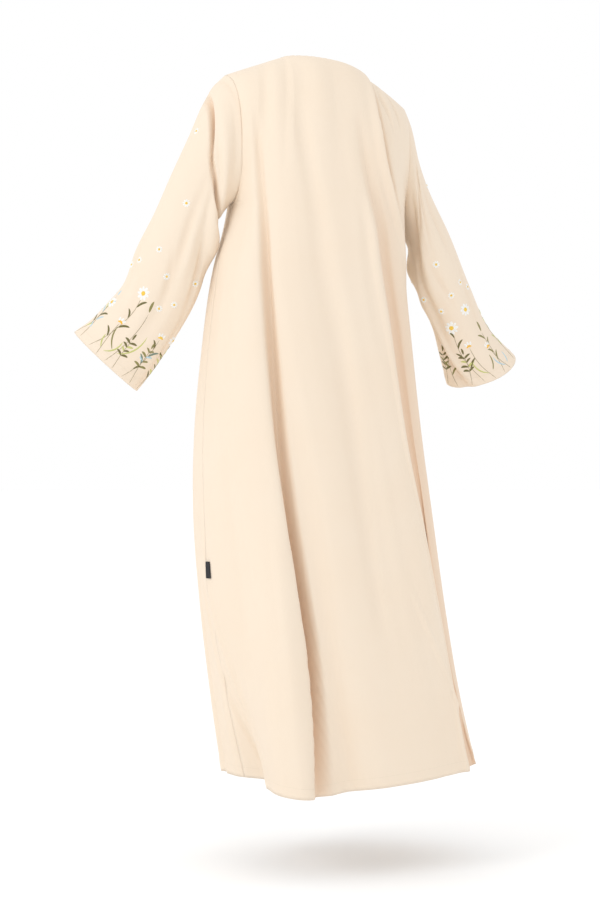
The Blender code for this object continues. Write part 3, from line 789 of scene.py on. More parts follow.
# %% Creases of the sleeves
SLEEVE_CREASES = {
    1: {
        "crease round the arm from the top": (0.090, -20, 0.172, 96, -0.0190, 0.012),
        "the same crease on to the underarm": (0.172, 66, 0.090, 200, -0.0190, 0.013),
        "roll between it and the armhole": (0.085, 20, 0.085, 170, 0.0060, 0.018),
        "short crease at the shoulder seam": (0.00, 74, 0.035, 0, -0.0045, 0.007),
        "long soft fold over the elbow": (0.18, 92, 0.70, 104, -0.0045, 0.015),
        "ridge beside it": (0.20, 108, 0.72, 122, 0.0030, 0.016),
        "hollow under the elbow": (0.26, 134, 0.66, 152, -0.0060, 0.014),
        "short fold at the elbow": (0.48, 84, 0.74, 112, -0.0026, 0.012),
        "fold towards the cuff": (0.70, 60, 0.98, 78, -0.0020, 0.018),
        "fold on top of the forearm": (0.55, 22, 0.90, 34, -0.0026, 0.016),
        "fold under the forearm": (0.62, 156, 0.98, 164, -0.0034, 0.012),
        "front fold from the shoulder": (0.04, 300, 0.34, 250, -0.0070, 0.014),
        "front fold at the elbow": (0.36, 262, 0.66, 286, -0.0050, 0.013),
        "front fold along the forearm": (0.60, 240, 0.98, 252, 0.0030, 0.018),
        "front fold under the arm": (0.14, 214, 0.50, 226, -0.0060, 0.013),
        "slack of cloth at the underarm": (0.09, 146, 0.40, 170, 0.0210, 0.045),
    },
    -1: {
        "crease from the shoulder tip": (0.02, 70, 0.50, 86, -0.0026, 0.012),
        "second crease down the upper arm": (0.18, 52, 0.60, 40, -0.0034, 0.010),
        "soft ridge along the arm": (0.26, 112, 0.66, 112, 0.0030, 0.016),
        "dark hollow by the body": (0.06, 158, 0.44, 132, -0.0080, 0.028),
        "short fold at the underarm": (0.04, 124, 0.24, 156, -0.0030, 0.020),
        "fold behind the elbow": (0.44, 100, 0.70, 76, -0.0030, 0.012),
        "edge of the turned-under cloth": (0.60, 160, 1.06, 92, 0.0060, 0.012),
        "hollow past that edge": (0.58, 176, 1.06, 108, -0.0100, 0.014),
        "fold on top of the forearm": (0.50, 26, 0.86, 40, -0.0028, 0.014),
        "front fold from the shoulder": (0.04, 296, 0.34, 252, -0.0066, 0.014),
        "front fold at the elbow": (0.34, 270, 0.62, 300, -0.0066, 0.013),
        "second front fold at the elbow": (0.42, 240, 0.70, 272, -0.0050, 0.012),
        "front fold along the forearm": (0.62, 226, 0.98, 240, 0.0030, 0.016),
        "front fold under the arm": (0.12, 210, 0.46, 224, -0.0056, 0.013),
        "slack of cloth at the underarm": (0.21, 208, 0.45, 196, 0.0140, 0.042),
    },
}
print("sleeve creases:", sum(len(rows) for rows in SLEEVE_CREASES.values()))

# %% [markdown]
# ## Seams, hems and edges
# Sewing shows in the cloth before any thread does. At a seam the cloth rolls in by under a
# millimetre, and less where its own weight pulls it smooth. Where an edge is turned in and
# topstitched there are three layers, so that strip stands slightly proud, and the line of stitches
# pulls it down again with tiny puckers.

# %% Relief of the sewing
SEAM_ROLL = 0.0006
SIDE_SEAM_SHARE = 0.3
SEAM_ROLL_WIDTH = 0.0032
HEM_WIDTH = 0.025
NECK_BAND = 0.007
EDGE_BAND = 0.020
CUFF_BAND = 0.022
LAYERS_RISE = 0.0007
LAYERS_STEP = 0.0016
STITCH_SINK = 0.0006
STITCH_SINK_WIDTH = 0.0016
PUCKER = 0.00035
PUCKER_REACH = 0.010
PUCKER_LENGTH = 0.013
PUCKER_WANDER = 2
PUCKER_WANDER_LENGTH = 3 * PUCKER_LENGTH


def length_from(points, axis, end):
    """How far each point lies from one end of its row (axis 1) or column (axis 0)."""
    steps = np.linalg.norm(np.diff(points, axis=axis), axis=2)
    zero = np.zeros_like(np.take(steps, [0], axis=axis))
    run = np.concatenate([zero, np.cumsum(steps, axis=axis)], axis=axis)
    return run if end == 0 else np.take(run, [-1], axis=axis) - run


def seam_roll(distance):
    return -SEAM_ROLL * np.exp(-((distance / SEAM_ROLL_WIDTH) ** 2))


def stitched_at(width):
    """The line of stitches of a turned edge, as a distance in from the edge."""
    return width - 2 * LAYERS_STEP


def turned_edge(distance, run, width):
    """Extra layers over a strip, pulled down along its line of stitches."""
    layers = LAYERS_RISE * ease((width - distance) / LAYERS_STEP + 1 / 2)
    stitched = stitched_at(width)
    sink = STITCH_SINK * np.exp(-(((distance - stitched) / STITCH_SINK_WIDTH) ** 2))
    wander = PUCKER_WANDER * np.sin(run / PUCKER_WANDER_LENGTH)
    wave = np.sin(2 * np.pi * run / PUCKER_LENGTH + wander)
    near = np.exp(-(((distance - stitched) / PUCKER_REACH) ** 2))
    return layers - sink + PUCKER * wave * near


print("turned edges:", {"hem": HEM_WIDTH, "front": EDGE_BAND, "cuff": CUFF_BAND, "neck": NECK_BAND})

# %% [markdown]
# ## The three body panels
# Now the formulas meet the fine grid. Each panel is worked out plain and then moved by its deep
# folds, its creases and its sewing. Along a side seam two panels share one direction out, so that
# they move together and no slit opens between them.

# %% The three body panels
back_grid = np.meshgrid(back_across, down)
back_grid[0] = crowded(*back_grid)
front_grid = np.meshgrid(front_across, down)
panel_place = {
    "back": back_place(*back_grid),
    "left_front": front_place(*front_grid, 1),
    "right_front": front_place(*front_grid, -1),
}
plain = {
    "back": back_sheet(*back_grid),
    "left_front": front_sheet(*front_grid, 1),
    "right_front": front_sheet(*front_grid, -1),
}
outward = {name: outward_of(plain[name], False, name in TURNED_OVER) for name in plain}


def agree_at_seam(name, back_column):
    """Below the underarm two panels share a seam, so both must move the same way there."""
    below = slice(ARMHOLE_ROWS, None)
    mean = outward["back"][below, back_column] + outward[name][below, 0]
    mean /= np.linalg.norm(mean, axis=1, keepdims=True)
    outward["back"][below, back_column] = mean
    outward[name][below, 0] = mean


agree_at_seam("left_front", 0)
agree_at_seam("right_front", -1)


def body_panel(name, seams, bands):
    """A panel's points, moved by its deep folds, its creases and its sewing."""
    points = plain[name]
    drop = -points[..., 2]
    angle = body_angle(panel_place[name], drop)
    height = crease_height(angle, drop) + deep_fold_height(angle, drop, PRESSED_IN)
    tucked = deep_fold_height(angle, drop, TUCKED_FORWARD)
    share = np.where(drop < UNDERARM_DROP, 1, SIDE_SEAM_SHARE)
    for axis, end in seams:
        height += seam_roll(length_from(points, axis, end)) * share
    for (axis, end), width, where in bands:
        run = length_from(points, 1 - axis, 0)
        height += turned_edge(length_from(points, axis, end), run, width) * where
    return points + outward[name] * height[..., None] + BACKWARD * tucked[..., None]


neck_start = SHOULDER_STEPS / (2 * SHOULDER_STEPS + BACK_NECK_STEPS)
at_nape = ((back_grid[0] >= neck_start) & (back_grid[0] <= 1 - neck_start)).astype(float)
at_front_neck = (front_grid[0] >= SHOULDER_STEPS / (SHOULDER_STEPS + FRONT_NECK_STEPS)).astype(float)
TOP, BOTTOM, FIRST, LAST = (0, 0), (0, -1), (1, 0), (1, -1)
front_bands = ((BOTTOM, HEM_WIDTH, 1), (LAST, EDGE_BAND, 1), (TOP, NECK_BAND, at_front_neck))
cloth = {
    "back": body_panel(
        "back", (FIRST, LAST), ((BOTTOM, HEM_WIDTH, 1), (TOP, NECK_BAND, at_nape))
    ),
    "left_front": body_panel("left_front", (FIRST,), front_bands),
    "right_front": body_panel("right_front", (FIRST,), front_bands),
}
# Painted shade: each panel notes how deep each place lies in a deep fold, where the crepe is painted
# darker and warmer.
painted_fold_shade = {
    name: painted_fold_shade_of(body_angle(panel_place[name], -points[..., 2]), -points[..., 2])
    for name, points in plain.items()
}
print("panels:", {name: points.shape[:2] for name, points in cloth.items()})

# %% [markdown]
# ## The two sleeves
# A sleeve starts on the armhole as the creases have left it, follows it for a few centimetres, and
# then has its own creases. Its seam is a shallow groove along the underside.

# %% The two sleeves
ARMHOLE_FOLLOWS = 0.09
SEAM_ROLL_STARTS = SLEEVE_HEAD / 3


def armhole_moves(side):
    """How far the creases moved the armhole's edge, so that the sleeve can follow it."""
    rows = slice(0, ARMHOLE_ROWS + 1)
    front = "left_front" if side > 0 else "right_front"
    back_moves = (cloth["back"] - plain["back"])[rows, 0 if side > 0 else -1]
    front_moves = (cloth[front] - plain[front])[rows, 0]
    return np.concatenate([back_moves, front_moves[-2:0:-1]])


def sleeve_tube(side, down, along):
    points, around = sleeve_sheet(side, down, along)
    near_armhole = 1 - ease(along / ARMHOLE_FOLLOWS)
    points = points + near_armhole[:, None, None] * armhole_moves(side)[None]
    out = outward_of(points, True, side < 0)
    height = along_folds(SLEEVE_CREASES[side], along[:, None], around[None, :])
    height *= ease(along / SLEEVE_HEAD)[:, None]
    height += seam_roll(length_from(points, 0, 0)) * ease(along / SEAM_ROLL_STARTS)[:, None]
    run = length_from(points, 1, 0)
    height += turned_edge(length_from(points, 0, -1), run, CUFF_BAND)
    under_seam = np.radians(np.abs(around - 180))[None, :] * SLEEVE_RADIUS
    height += seam_roll(under_seam + 0 * height)
    return points + out * height[..., None], around


around_sleeve = {}
for name, side in (("left_sleeve", 1), ("right_sleeve", -1)):
    cloth[name], around_sleeve[side] = sleeve_tube(side, down[: ARMHOLE_ROWS + 1], along)
    # Painted shade: the sunken creases of a sleeve get the darker, warmer fold cream too.
    sunk = -along_folds(SLEEVE_CREASES[side], along[:, None], around_sleeve[side][None, :])
    painted_fold_shade[name] = np.clip(sunk / SLEEVE_FULL_PAINTED_SHADE_DEPTH, 0, 1)
print("pieces of cloth:", ", ".join(cloth))

# %% [markdown]
# ## The crepe
# The cloth is a heavy matte crepe: a plain weave of hard-twisted thread that crinkles into fine
# pebbles. Four things make it: a cream that varies a little over a hand's width, a painted shade of
# darker, warmer cream deep in the folds, a fine pebble bump about a millimetre across, and a soft
# sheen at grazing angles. The bump is measured in real metres along the cloth through the UV map,
# so it does not stretch where a panel curves.

# %% Crepe material
CREAM = (0.846, 0.732, 0.602)
CREAM_WARM = (0.838, 0.704, 0.560)
# Painted shade: the darker, warmer cream laid into deep folds in place of the light bounced there.
PAINTED_FOLD_SHADE_CREAM = (0.780, 0.585, 0.430)
CREPE_ROUGHNESS = 0.88
CREPE_FINISH = {"Specular IOR Level": 0.25, "Sheen Weight": 0.12, "Sheen Roughness": 0.45}
PATCHES_PER_METRE = 7
PEBBLES_PER_METRE = 900
PEBBLE_DEPTH = 0.00025
THREADS_PER_METRE = 1500
THREAD_DEPTH = 0.0001
WAVES_PER_SCALE = 20 / (2 * math.pi)


def node(tree, kind, **inputs):
    made = tree.nodes.new(kind)
    for name, value in inputs.items():
        made.inputs[name.replace("_", " ")].default_value = value
    return made


def textured_material(name, colour, roughness, uv_name):
    """(material, tree, shader, place): a plain material, and the UV map for its textures."""
    made, shader = plain_material(name, colour, roughness)
    uv = made.node_tree.nodes.new("ShaderNodeUVMap")
    uv.uv_map = uv_name
    return made, made.node_tree, shader, uv.outputs["UV"]


def texture(tree, place, kind, **inputs):
    made = node(tree, kind, **inputs)
    tree.links.new(place, made.inputs["Vector"])
    return made.outputs["Fac"]


def mixed_colours(tree, factor, first, second):
    mix = tree.nodes.new("ShaderNodeMix")
    mix.data_type = "RGBA"
    mix.inputs["A"].default_value = (*first, 1)
    mix.inputs["B"].default_value = (*second, 1)
    tree.links.new(factor, mix.inputs["Factor"])
    return mix


def bump_map(tree, height, strength, depth):
    made = node(tree, "ShaderNodeBump", Strength=strength, Distance=depth)
    tree.links.new(height, made.inputs["Height"])
    return made


def crepe_material():
    made, tree, shader, place = textured_material("cream crepe", CREAM, CREPE_ROUGHNESS, "cloth")
    noise, wave = "ShaderNodeTexNoise", "ShaderNodeTexWave"
    threads = THREADS_PER_METRE / WAVES_PER_SCALE
    broad = texture(tree, place, noise, Scale=PATCHES_PER_METRE, Detail=3.0, Roughness=0.55)
    pebble = texture(tree, place, noise, Scale=PEBBLES_PER_METRE, Detail=2.0, Roughness=0.6)
    warp = texture(tree, place, wave, Scale=threads, Distortion=1.5, Detail=1.0)
    # Painted shade: this attribute mixes the cream towards the darker fold cream deep in the folds.
    folds = tree.nodes.new("ShaderNodeAttribute")
    folds.attribute_name = "painted_fold_shade"
    cream = mixed_colours(tree, broad, CREAM, CREAM_WARM)
    fold_shaded = mixed_colours(tree, folds.outputs["Fac"], CREAM, PAINTED_FOLD_SHADE_CREAM)
    tree.links.new(cream.outputs["Result"], fold_shaded.inputs["A"])
    tree.links.new(fold_shaded.outputs["Result"], shader.inputs["Base Color"])
    weave = bump_map(tree, warp, 0.25, THREAD_DEPTH)
    pebbled = bump_map(tree, pebble, 0.5, PEBBLE_DEPTH)
    tree.links.new(weave.outputs["Normal"], pebbled.inputs["Normal"])
    tree.links.new(pebbled.outputs["Normal"], shader.inputs["Normal"])
    for setting, value in CREPE_FINISH.items():
        shader.inputs[setting].default_value = value
    return made


crepe = crepe_material()
print("materials so far:", [m.name for m in bpy.data.materials])

# %% [markdown]
# ## Making the cloth
# A grid of points becomes a mesh with one square to each step. Its UV map is the length along the
# cloth in metres. Solidify then gives it the thickness of the crepe, half to each side, so that the
# inside shows through the neck, the cuffs and the open front as real cloth does.

# %% Cloth pieces
CREPE_THICKNESS = 0.0008


def mesh_of(name, points, squares, uv_name, uv):
    """A smooth mesh of squares, with a UV map given point by point."""
    mesh = bpy.data.meshes.new(name)
    mesh.from_pydata(points.tolist(), [], squares.tolist())
    layer = mesh.uv_layers.new(name=uv_name)
    corner = np.empty(len(mesh.loops), np.int32)
    mesh.loops.foreach_get("vertex_index", corner)
    layer.data.foreach_set("uv", uv[corner].ravel())
    mesh.shade_smooth()
    return mesh


def add_piece(mesh):
    """One piece of the cloak, which stays with its root."""
    piece = bpy.data.objects.new(mesh.name, mesh)
    bpy.context.scene.collection.objects.link(piece)
    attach(piece, "root")
    return piece


def thicken(piece, thickness):
    """Gives a sheet its thickness, half to each side."""
    thick = piece.modifiers.new("thickness", "SOLIDIFY")
    thick.thickness = thickness
    thick.offset = 0


def add_cloth(name, points, closed, turned):
    squares = grid_points(points, closed)
    if turned:
        squares = squares[:, ::-1]
    uv = np.stack([length_from(points, 1, 0), length_from(points, 0, 0)], axis=-1).reshape(-1, 2)
    mesh = mesh_of(name + "_cloth", points.reshape(-1, 3), squares, "cloth", uv)
    # Painted shade: the fold depth is stored on the mesh for the crepe to paint its darker cream.
    mesh.attributes.new("painted_fold_shade", "FLOAT", "POINT").data.foreach_set("value", painted_fold_shade[name].ravel())
    mesh.materials.append(crepe)
    piece = add_piece(mesh)
    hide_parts(name)
    thicken(piece, CREPE_THICKNESS)
    return piece


for name, points in cloth.items():
    is_sleeve = "sleeve" in name
    add_cloth(name, points, is_sleeve, name in TURNED_OVER)

# %% [markdown]
# ## The cut
# The cut is a maker's: the back is one piece on the fold, the fronts are half as wide, and a sleeve
# is a shape with a rounded head.

# %% [markdown]
# ## A place on the cloth
# Sewing lies on the cloth, so it has to be told where the cloth is. Two small tools do it. The
# first reads a grid between its points, as a needle can go in anywhere. The second lays a flat
# drawing on a sleeve: so many metres round from a foot, so many metres up from the cuff, measured
# along the cloth itself. A flower keeps its shape however the sleeve bends.

# %% Reading the cloth between its points
SLANT_REACH = 2
MOST_SLANT = 0.8
LOWEST_STITCH = 0.0006


def between(grid, row, column):
    """The value of a grid at places between its points, given as row and column numbers."""
    r = np.clip(np.floor(row).astype(int), 0, grid.shape[0] - 2)
    c = np.clip(np.floor(column).astype(int), 0, grid.shape[1] - 2)
    down_part = (row - r)[..., None]
    over_part = (column - c)[..., None]
    upper = grid[r, c] * (1 - over_part) + grid[r, c + 1] * over_part
    lower = grid[r + 1, c] * (1 - over_part) + grid[r + 1, c + 1] * over_part
    return upper * (1 - down_part) + lower * down_part


def with_seam(grid):
    """A closed grid with its first column again at the end."""
    return np.concatenate([grid, grid[:, :1]], axis=1)


facing = {
    name: outward_of(points, "sleeve" in name, name in TURNED_OVER)
    for name, points in cloth.items()
}
sleeve_names = {1: "left_sleeve", -1: "right_sleeve"}
sleeve_rings = {side: with_seam(cloth[name]) for side, name in sleeve_names.items()}
sleeve_facing = {side: with_seam(facing[name]) for side, name in sleeve_names.items()}
ring_lengths = {side: length_from(rings, 1, 0) for side, rings in sleeve_rings.items()}
upward = {side: length_from(rings, 0, -1) for side, rings in sleeve_rings.items()}


def slant_of(side, near):
    """The cosine of the angle between a ring and the line up the sleeve, at each ring."""
    rings = sleeve_rings[side]
    first, last = max(near - SLANT_REACH, 0), min(near + SLANT_REACH, rings.shape[1] - 1)
    round_way = rings[:, last] - rings[:, first]
    up_way = -np.gradient(rings[:, near], axis=0)
    lengths = np.linalg.norm(round_way, axis=1) * np.linalg.norm(up_way, axis=1)
    return np.clip((round_way * up_way).sum(axis=1) / lengths, -MOST_SLANT, MOST_SLANT)


def on_sleeve(side, foot, over, up, lift):
    """Points on a sleeve: over metres round from the foot in degrees, up from the cuff, lift off it."""
    lengths = ring_lengths[side]
    count = lengths.shape[1]
    degrees = np.append(around_sleeve[side], 360)
    foot_column = np.interp(foot % 360, degrees, np.arange(count))
    near = int(round(foot_column))
    rows = np.arange(SLEEVE_ROWS + 1)
    slant = np.interp(np.interp(-up, -upward[side][:, near], rows), rows, slant_of(side, near))
    square = np.sqrt(1 - slant**2)
    up = np.maximum(up - over * slant / square, LOWEST_STITCH)
    over = over / square
    row = np.interp(-up, -upward[side][:, near], rows)
    first = np.clip(np.floor(row).astype(int), 0, SLEEVE_ROWS - 1)
    places = []
    for step in (0, 1):
        columns = np.empty(row.shape)
        for spot in np.ndindex(row.shape):
            here = lengths[first[spot] + step]
            start = np.interp(foot_column, np.arange(count), here)
            columns[spot] = np.interp((start + over[spot]) % here[-1], here, np.arange(count))
        at = (first + step).astype(float)
        flat = between(sleeve_rings[side], at, columns)
        places.append(flat + between(sleeve_facing[side], at, columns) * lift[..., None])
    part = (row - first)[..., None]
    return places[0] * (1 - part) + places[1] * part


print("sleeve rings:", {side: rings.shape[:2] for side, rings in sleeve_rings.items()})

# %% [markdown]
# ## Embroidery stitches
# The flowers are satin stitch: many threads side by side that fill a small shape and stand up in a
# low dome. So each leaf and petal is a thin lens that rises from the cloth in its middle and sinks
# into it at its rim. A stem is one row of stitches, a narrow lens drawn along a line, and the
# centre of a daisy is a dome of knots. All of them are the same patch with other sizes.

# %% One patch of satin stitch
LEAF_STEPS = 9
LEAF_WIDTHS = 5
CLOTH_FACE = 0.0003
LEAF_RISE = 0.0009
STEM_RISE = 0.0006
LENS_SHARPNESS = 1.2
STEM_TAPER = 12


def lens_shape(fraction):
    return np.sqrt(np.clip(4 * fraction * (1 - fraction), 0, 1)) ** LENS_SHARPNESS


def stem_shape(fraction):
    return np.clip(np.minimum(fraction, 1 - fraction) * STEM_TAPER, 0, 1)


def patch(centre_line, width, shape, rise):
    """(over, up, lift, uv) of a strip of satin stitch drawn along a line."""
    run = length_along(centre_line)
    heading = np.gradient(centre_line, axis=0)
    heading /= np.linalg.norm(heading, axis=1, keepdims=True)
    side = np.stack([-heading[:, 1], heading[:, 0]], axis=1)
    wide = width / 2 * shape(run / run[-1])
    over_width = np.linspace(-1, 1, LEAF_WIDTHS)
    flat = centre_line[:, None] + side[:, None] * (wide[:, None] * over_width)[..., None]
    lift = CLOTH_FACE + rise * (1 - over_width**2)[None, :] * (wide[:, None] / (width / 2))
    uv = np.stack([np.broadcast_to(run[:, None], lift.shape), wide[:, None] * over_width], axis=-1)
    return flat[..., 0], flat[..., 1], lift, uv


def leaf_patch(thread, line, width, rise=LEAF_RISE):
    """A leaf or a petal: its thread, and a patch that is pointed at both ends."""
    return (thread, *patch(line, width, lens_shape, rise))


def bent_line(start, end, bow):
    """A line from start to end that bows to its left by a share of its length."""
    start, end = np.array(start, float), np.array(end, float)
    f = np.linspace(0, 1, LEAF_STEPS)[:, None]
    left = np.array((start[1] - end[1], end[0] - start[0]))
    return start + (end - start) * f + left * bow * 4 * f * (1 - f)


print("one leaf has", (LEAF_STEPS - 1) * (LEAF_WIDTHS - 1), "squares")

# %% [markdown]
# ## The plants
# The flowers are an ordinary meadow: daisies, buds, leafy sprigs, grasses and seed heads that grow
# up from the cuff, with loose daisies scattered above. They have the colours and the scale of the
# real embroidery. The drawing and the places are our own, and each plant is one row of a table.

# %% The plants of each sleeve
PLANT_COLUMNS = ("foot", "tall", "sway", "kind", "thread", "second", "head")
PLANTS = {
    1: (
        (10, 0.095, 0.018, "sprig", "yellow_green", "dark_olive", "daisy"),
        (34, 0.112, -0.016, "sprig", "pale_blue", "yellow_green", "leaf"),
        (56, 0.145, 0.026, "sprig", "dark_olive", "dark_olive", "daisy"),
        (74, 0.078, -0.014, "grass", "yellow_green", "yellow_green", "bud"),
        (88, 0.128, 0.012, "grass", "olive", "yellow_green", "seed"),
        (103, 0.070, -0.010, "leafy", "dark_olive", "yellow_green", "leaf"),
        (120, 0.104, 0.022, "sprig", "dark_olive", "sage", "bud"),
        (139, 0.082, -0.012, "leafy", "olive", "pale_blue", "leaf"),
        (162, 0.118, 0.016, "sprig", "dark_olive", "yellow_green", "daisy"),
        (192, 0.084, -0.014, "leafy", "yellow_green", "dark_olive", "leaf"),
        (220, 0.130, 0.020, "sprig", "olive", "pale_blue", "daisy"),
        (248, 0.088, -0.016, "grass", "sage", "sage", "seed"),
        (274, 0.120, 0.020, "sprig", "dark_olive", "yellow_green", "bud"),
        (302, 0.076, -0.012, "leafy", "olive", "yellow_green", "leaf"),
        (334, 0.126, 0.018, "sprig", "yellow_green", "pale_blue", "daisy"),
    ),
    -1: (
        (8, 0.118, -0.018, "sprig", "yellow_green", "olive", "leaf"),
        (32, 0.066, 0.012, "grass", "pale_blue", "pale_blue", "bud"),
        (48, 0.100, -0.020, "sprig", "olive", "dark_olive", "seed"),
        (66, 0.086, 0.016, "grass", "olive", "yellow_green", "bud"),
        (84, 0.132, 0.022, "sprig", "dark_olive", "yellow_green", "daisy"),
        (106, 0.070, -0.014, "leafy", "dark_olive", "yellow_green", "leaf"),
        (132, 0.092, 0.014, "sprig", "olive", "pale_blue", "bud"),
        (160, 0.074, -0.012, "leafy", "dark_olive", "olive", "leaf"),
        (188, 0.110, 0.016, "sprig", "sage", "yellow_green", "daisy"),
        (216, 0.080, -0.014, "leafy", "yellow_green", "dark_olive", "leaf"),
        (244, 0.132, 0.022, "sprig", "dark_olive", "pale_blue", "daisy"),
        (272, 0.084, -0.012, "grass", "olive", "sage", "bud"),
        (300, 0.114, 0.018, "sprig", "olive", "dark_olive", "seed"),
        (332, 0.072, -0.010, "leafy", "sage", "yellow_green", "leaf"),
    ),
}
LOOSE_DAISY_COLUMNS = ("foot", "up", "across")
LOOSE_DAISIES = {
    1: (
        (16, 0.176, 0.014), (40, 0.196, 0.014), (66, 0.238, 0.014), (95, 0.208, 0.015),
        (126, 0.176, 0.014), (78, 0.345, 0.016), (22, 0.462, 0.015), (150, 0.236, 0.014),
        (108, 0.150, 0.014), (202, 0.186, 0.014), (234, 0.262, 0.015), (268, 0.204, 0.014),
        (300, 0.332, 0.016), (330, 0.226, 0.014), (252, 0.412, 0.015),
    ),
    -1: (
        (84, 0.262, 0.015), (42, 0.210, 0.014), (76, 0.196, 0.014), (56, 0.158, 0.026),
        (20, 0.188, 0.014), (112, 0.168, 0.014), (18, 0.404, 0.015), (150, 0.192, 0.014),
        (196, 0.212, 0.014), (228, 0.282, 0.015), (262, 0.192, 0.014), (296, 0.352, 0.015),
        (326, 0.232, 0.014),
    ),
}
print("plants:", {side: len(rows) for side, rows in PLANTS.items()})

# %% [markdown]
# ## Drawing a plant
# A stem leaves the cuff, sways once and ends in its head. On a sprig single leaves sit by turns on
# its left and right. A leafy plant carries them in pairs. A grass has two long blades from low on
# its stem. We draw the heads first: a daisy is a ring of petals round a dome, and a bud is a
# half-open one in its cup.

# %% Flower heads
BIG_DAISY = 0.027
PETALS = 9
PETAL_ROOT = 0.12
PETAL_WIDE = 0.21
PETAL_BOW = 0.04
PETAL_UNEVEN = 0.12
CENTRE_SHARE = 0.34
BUD_SIZE = 0.0125
BUD_SPREAD = 0.55
BUD_PETAL_WIDE = 0.0046
BUD_PETAL_BOW = 1 / 6
CUP_SHARE = 0.42
CUP_BOW = -0.30
CUP_WIDE = 0.0060
CUP_RISE = 1.5 * LEAF_RISE


def daisy(centre, size, turn):
    parts = []
    for petal in range(PETALS):
        angle = turn + 2 * math.pi * petal / PETALS
        way = np.array((math.cos(angle), math.sin(angle)))
        line = bent_line(centre + way * size * PETAL_ROOT, centre + way * size / 2, PETAL_BOW)
        wide = size * PETAL_WIDE * (1 + PETAL_UNEVEN * math.sin(3 * petal + turn))
        parts.append(leaf_patch("white", line, wide))
    reach = size * CENTRE_SHARE / 2
    across = bent_line(centre - (reach, 0), centre + (reach, 0), 0)
    parts.append(leaf_patch("yellow", across, 2 * reach, 2 * LEAF_RISE))
    return parts


def bud(centre, heading, own):
    """A half-open flower: three white petals in a cup of yellow or orange thread."""
    parts = []
    side = np.array((-heading[1], heading[0]))
    for spread in (-BUD_SPREAD, 0, BUD_SPREAD):
        way = heading * math.cos(spread) + side * math.sin(spread)
        line = bent_line(centre, centre + way * BUD_SIZE, spread * BUD_PETAL_BOW)
        parts.append(leaf_patch("white", line, BUD_PETAL_WIDE))
    reach = side * BUD_SIZE * CUP_SHARE
    cup = bent_line(centre - reach, centre + reach, CUP_BOW)
    parts.append(leaf_patch("orange" if own > 0.5 else "yellow", cup, CUP_WIDE, CUP_RISE))
    return parts


print("a daisy has", len(daisy(np.zeros(2), BIG_DAISY, 0)), "patches")

# %% [markdown]
# ## Stems, leaves and blades
# A leaf is a patch with a slight bow, set on the stem at a share of its height. How it turns, and
# its length and width, each come from one number between 0 and 1 that differs from leaf to leaf.

# %% Stems and leaves
STEM_WIDTH = 0.0011
STEM_STEPS = 15
STEM_FOOT = 0.0015
STEM_SWING = 0.45
STEM_LEAN = 0.7
LEAF_COLUMNS = ("leaves", "lowest", "stretch", "turn", "long", "wide")
LEAF_KINDS = {
    "sprig": (4, 0.24, 0.70, 0.50, 0.0210, 0.0042),
    "leafy": (4, 0.42, 0.56, 0.95, 0.0135, 0.0046),
}
LEAF_SHIFT = 0.4
LEAF_DIFFERENCE = 0.37
TURN_RANGE = 0.35
SHORTEST, LENGTH_RANGE = 0.85, 0.35
NARROWEST, WIDTH_RANGE = 0.90, 0.25
LEAF_BOW = 0.13
BLADE_COLUMNS = ("lean", "height_share")
BLADES = ((-0.34, 0.58), (0.40, 0.72))
BLADE_REACH = 0.6
BLADE_ROOT_OVER = 0.003
BLADE_ROOT_UP = 0.22
BLADE_BOW = 0.4
BLADE_WIDE = 0.0032


def stem_line(tall, sway):
    f = np.linspace(0, 1, STEM_STEPS)
    over = sway * (np.sin(np.pi * f) * STEM_SWING + f**2 * STEM_LEAN)
    return np.stack([over, STEM_FOOT + (tall - STEM_FOOT) * f], axis=1)


def leaves_of(plant, line, own):
    """The leaves of a plant: singly by turns on a sprig, in pairs on a leafy plant."""
    kind = dict(zip(LEAF_COLUMNS, LEAF_KINDS[plant["kind"]]))
    steps = np.linspace(0, 1, STEM_STEPS)
    parts = []
    for leaf in range(kind["leaves"]):
        share = kind["lowest"] + kind["stretch"] * (leaf + LEAF_SHIFT * own) / kind["leaves"]
        place = np.array([np.interp(share, steps, line[:, axis]) for axis in (0, 1)])
        differs = (own + leaf * LEAF_DIFFERENCE) % 1
        turn = kind["turn"] + TURN_RANGE * differs
        long = kind["long"] * (SHORTEST + LENGTH_RANGE * differs)
        wide = kind["wide"] * (NARROWEST + WIDTH_RANGE * differs)
        single = 1 if (leaf + int(own * 7)) % 2 else -1
        for hand in (1, -1) if plant["kind"] == "leafy" else (single,):
            thread = plant["thread"] if (leaf + hand) % 3 else plant["second"]
            end = place + long * np.array((hand * math.sin(turn), math.cos(turn)))
            parts.append(leaf_patch(thread, bent_line(place, end, hand * LEAF_BOW), wide))
    return parts


def blades_of(plant):
    """The two long blades of a grass, one leaning to each side."""
    parts = []
    tall = plant["tall"]
    for values, thread in zip(BLADES, (plant["thread"], plant["second"])):
        blade = dict(zip(BLADE_COLUMNS, values))
        tip = np.array((blade["lean"] * tall * BLADE_REACH, tall * blade["height_share"]))
        root = np.array((BLADE_ROOT_OVER * np.sign(blade["lean"]), tall * BLADE_ROOT_UP))
        line = bent_line(root, tip, -blade["lean"] * BLADE_BOW)
        parts.append(leaf_patch(thread, line, BLADE_WIDE))
    return parts


print("leaves on a plant:", {kind: values[0] for kind, values in LEAF_KINDS.items()})

# %% [markdown]
# ## Whole plants
# Now a plant is its stem, its leaves or blades, and its head. Small steady differences keep the
# plants from being copies. They come from a number of the plant's own, its foot times the golden
# share, and not from chance, so the drawing is the same on every run.

# %% Whole plants
GOLDEN_SHARE = 0.6180
SMALLEST_HEAD, HEAD_RANGE = 0.88, 0.2
TIP_COLUMNS = ("long", "wide")
TIPS = {"seed": (0.0240, 0.0056), "leaf": (0.0147, 0.0042)}
TIP_BOW = 0.06


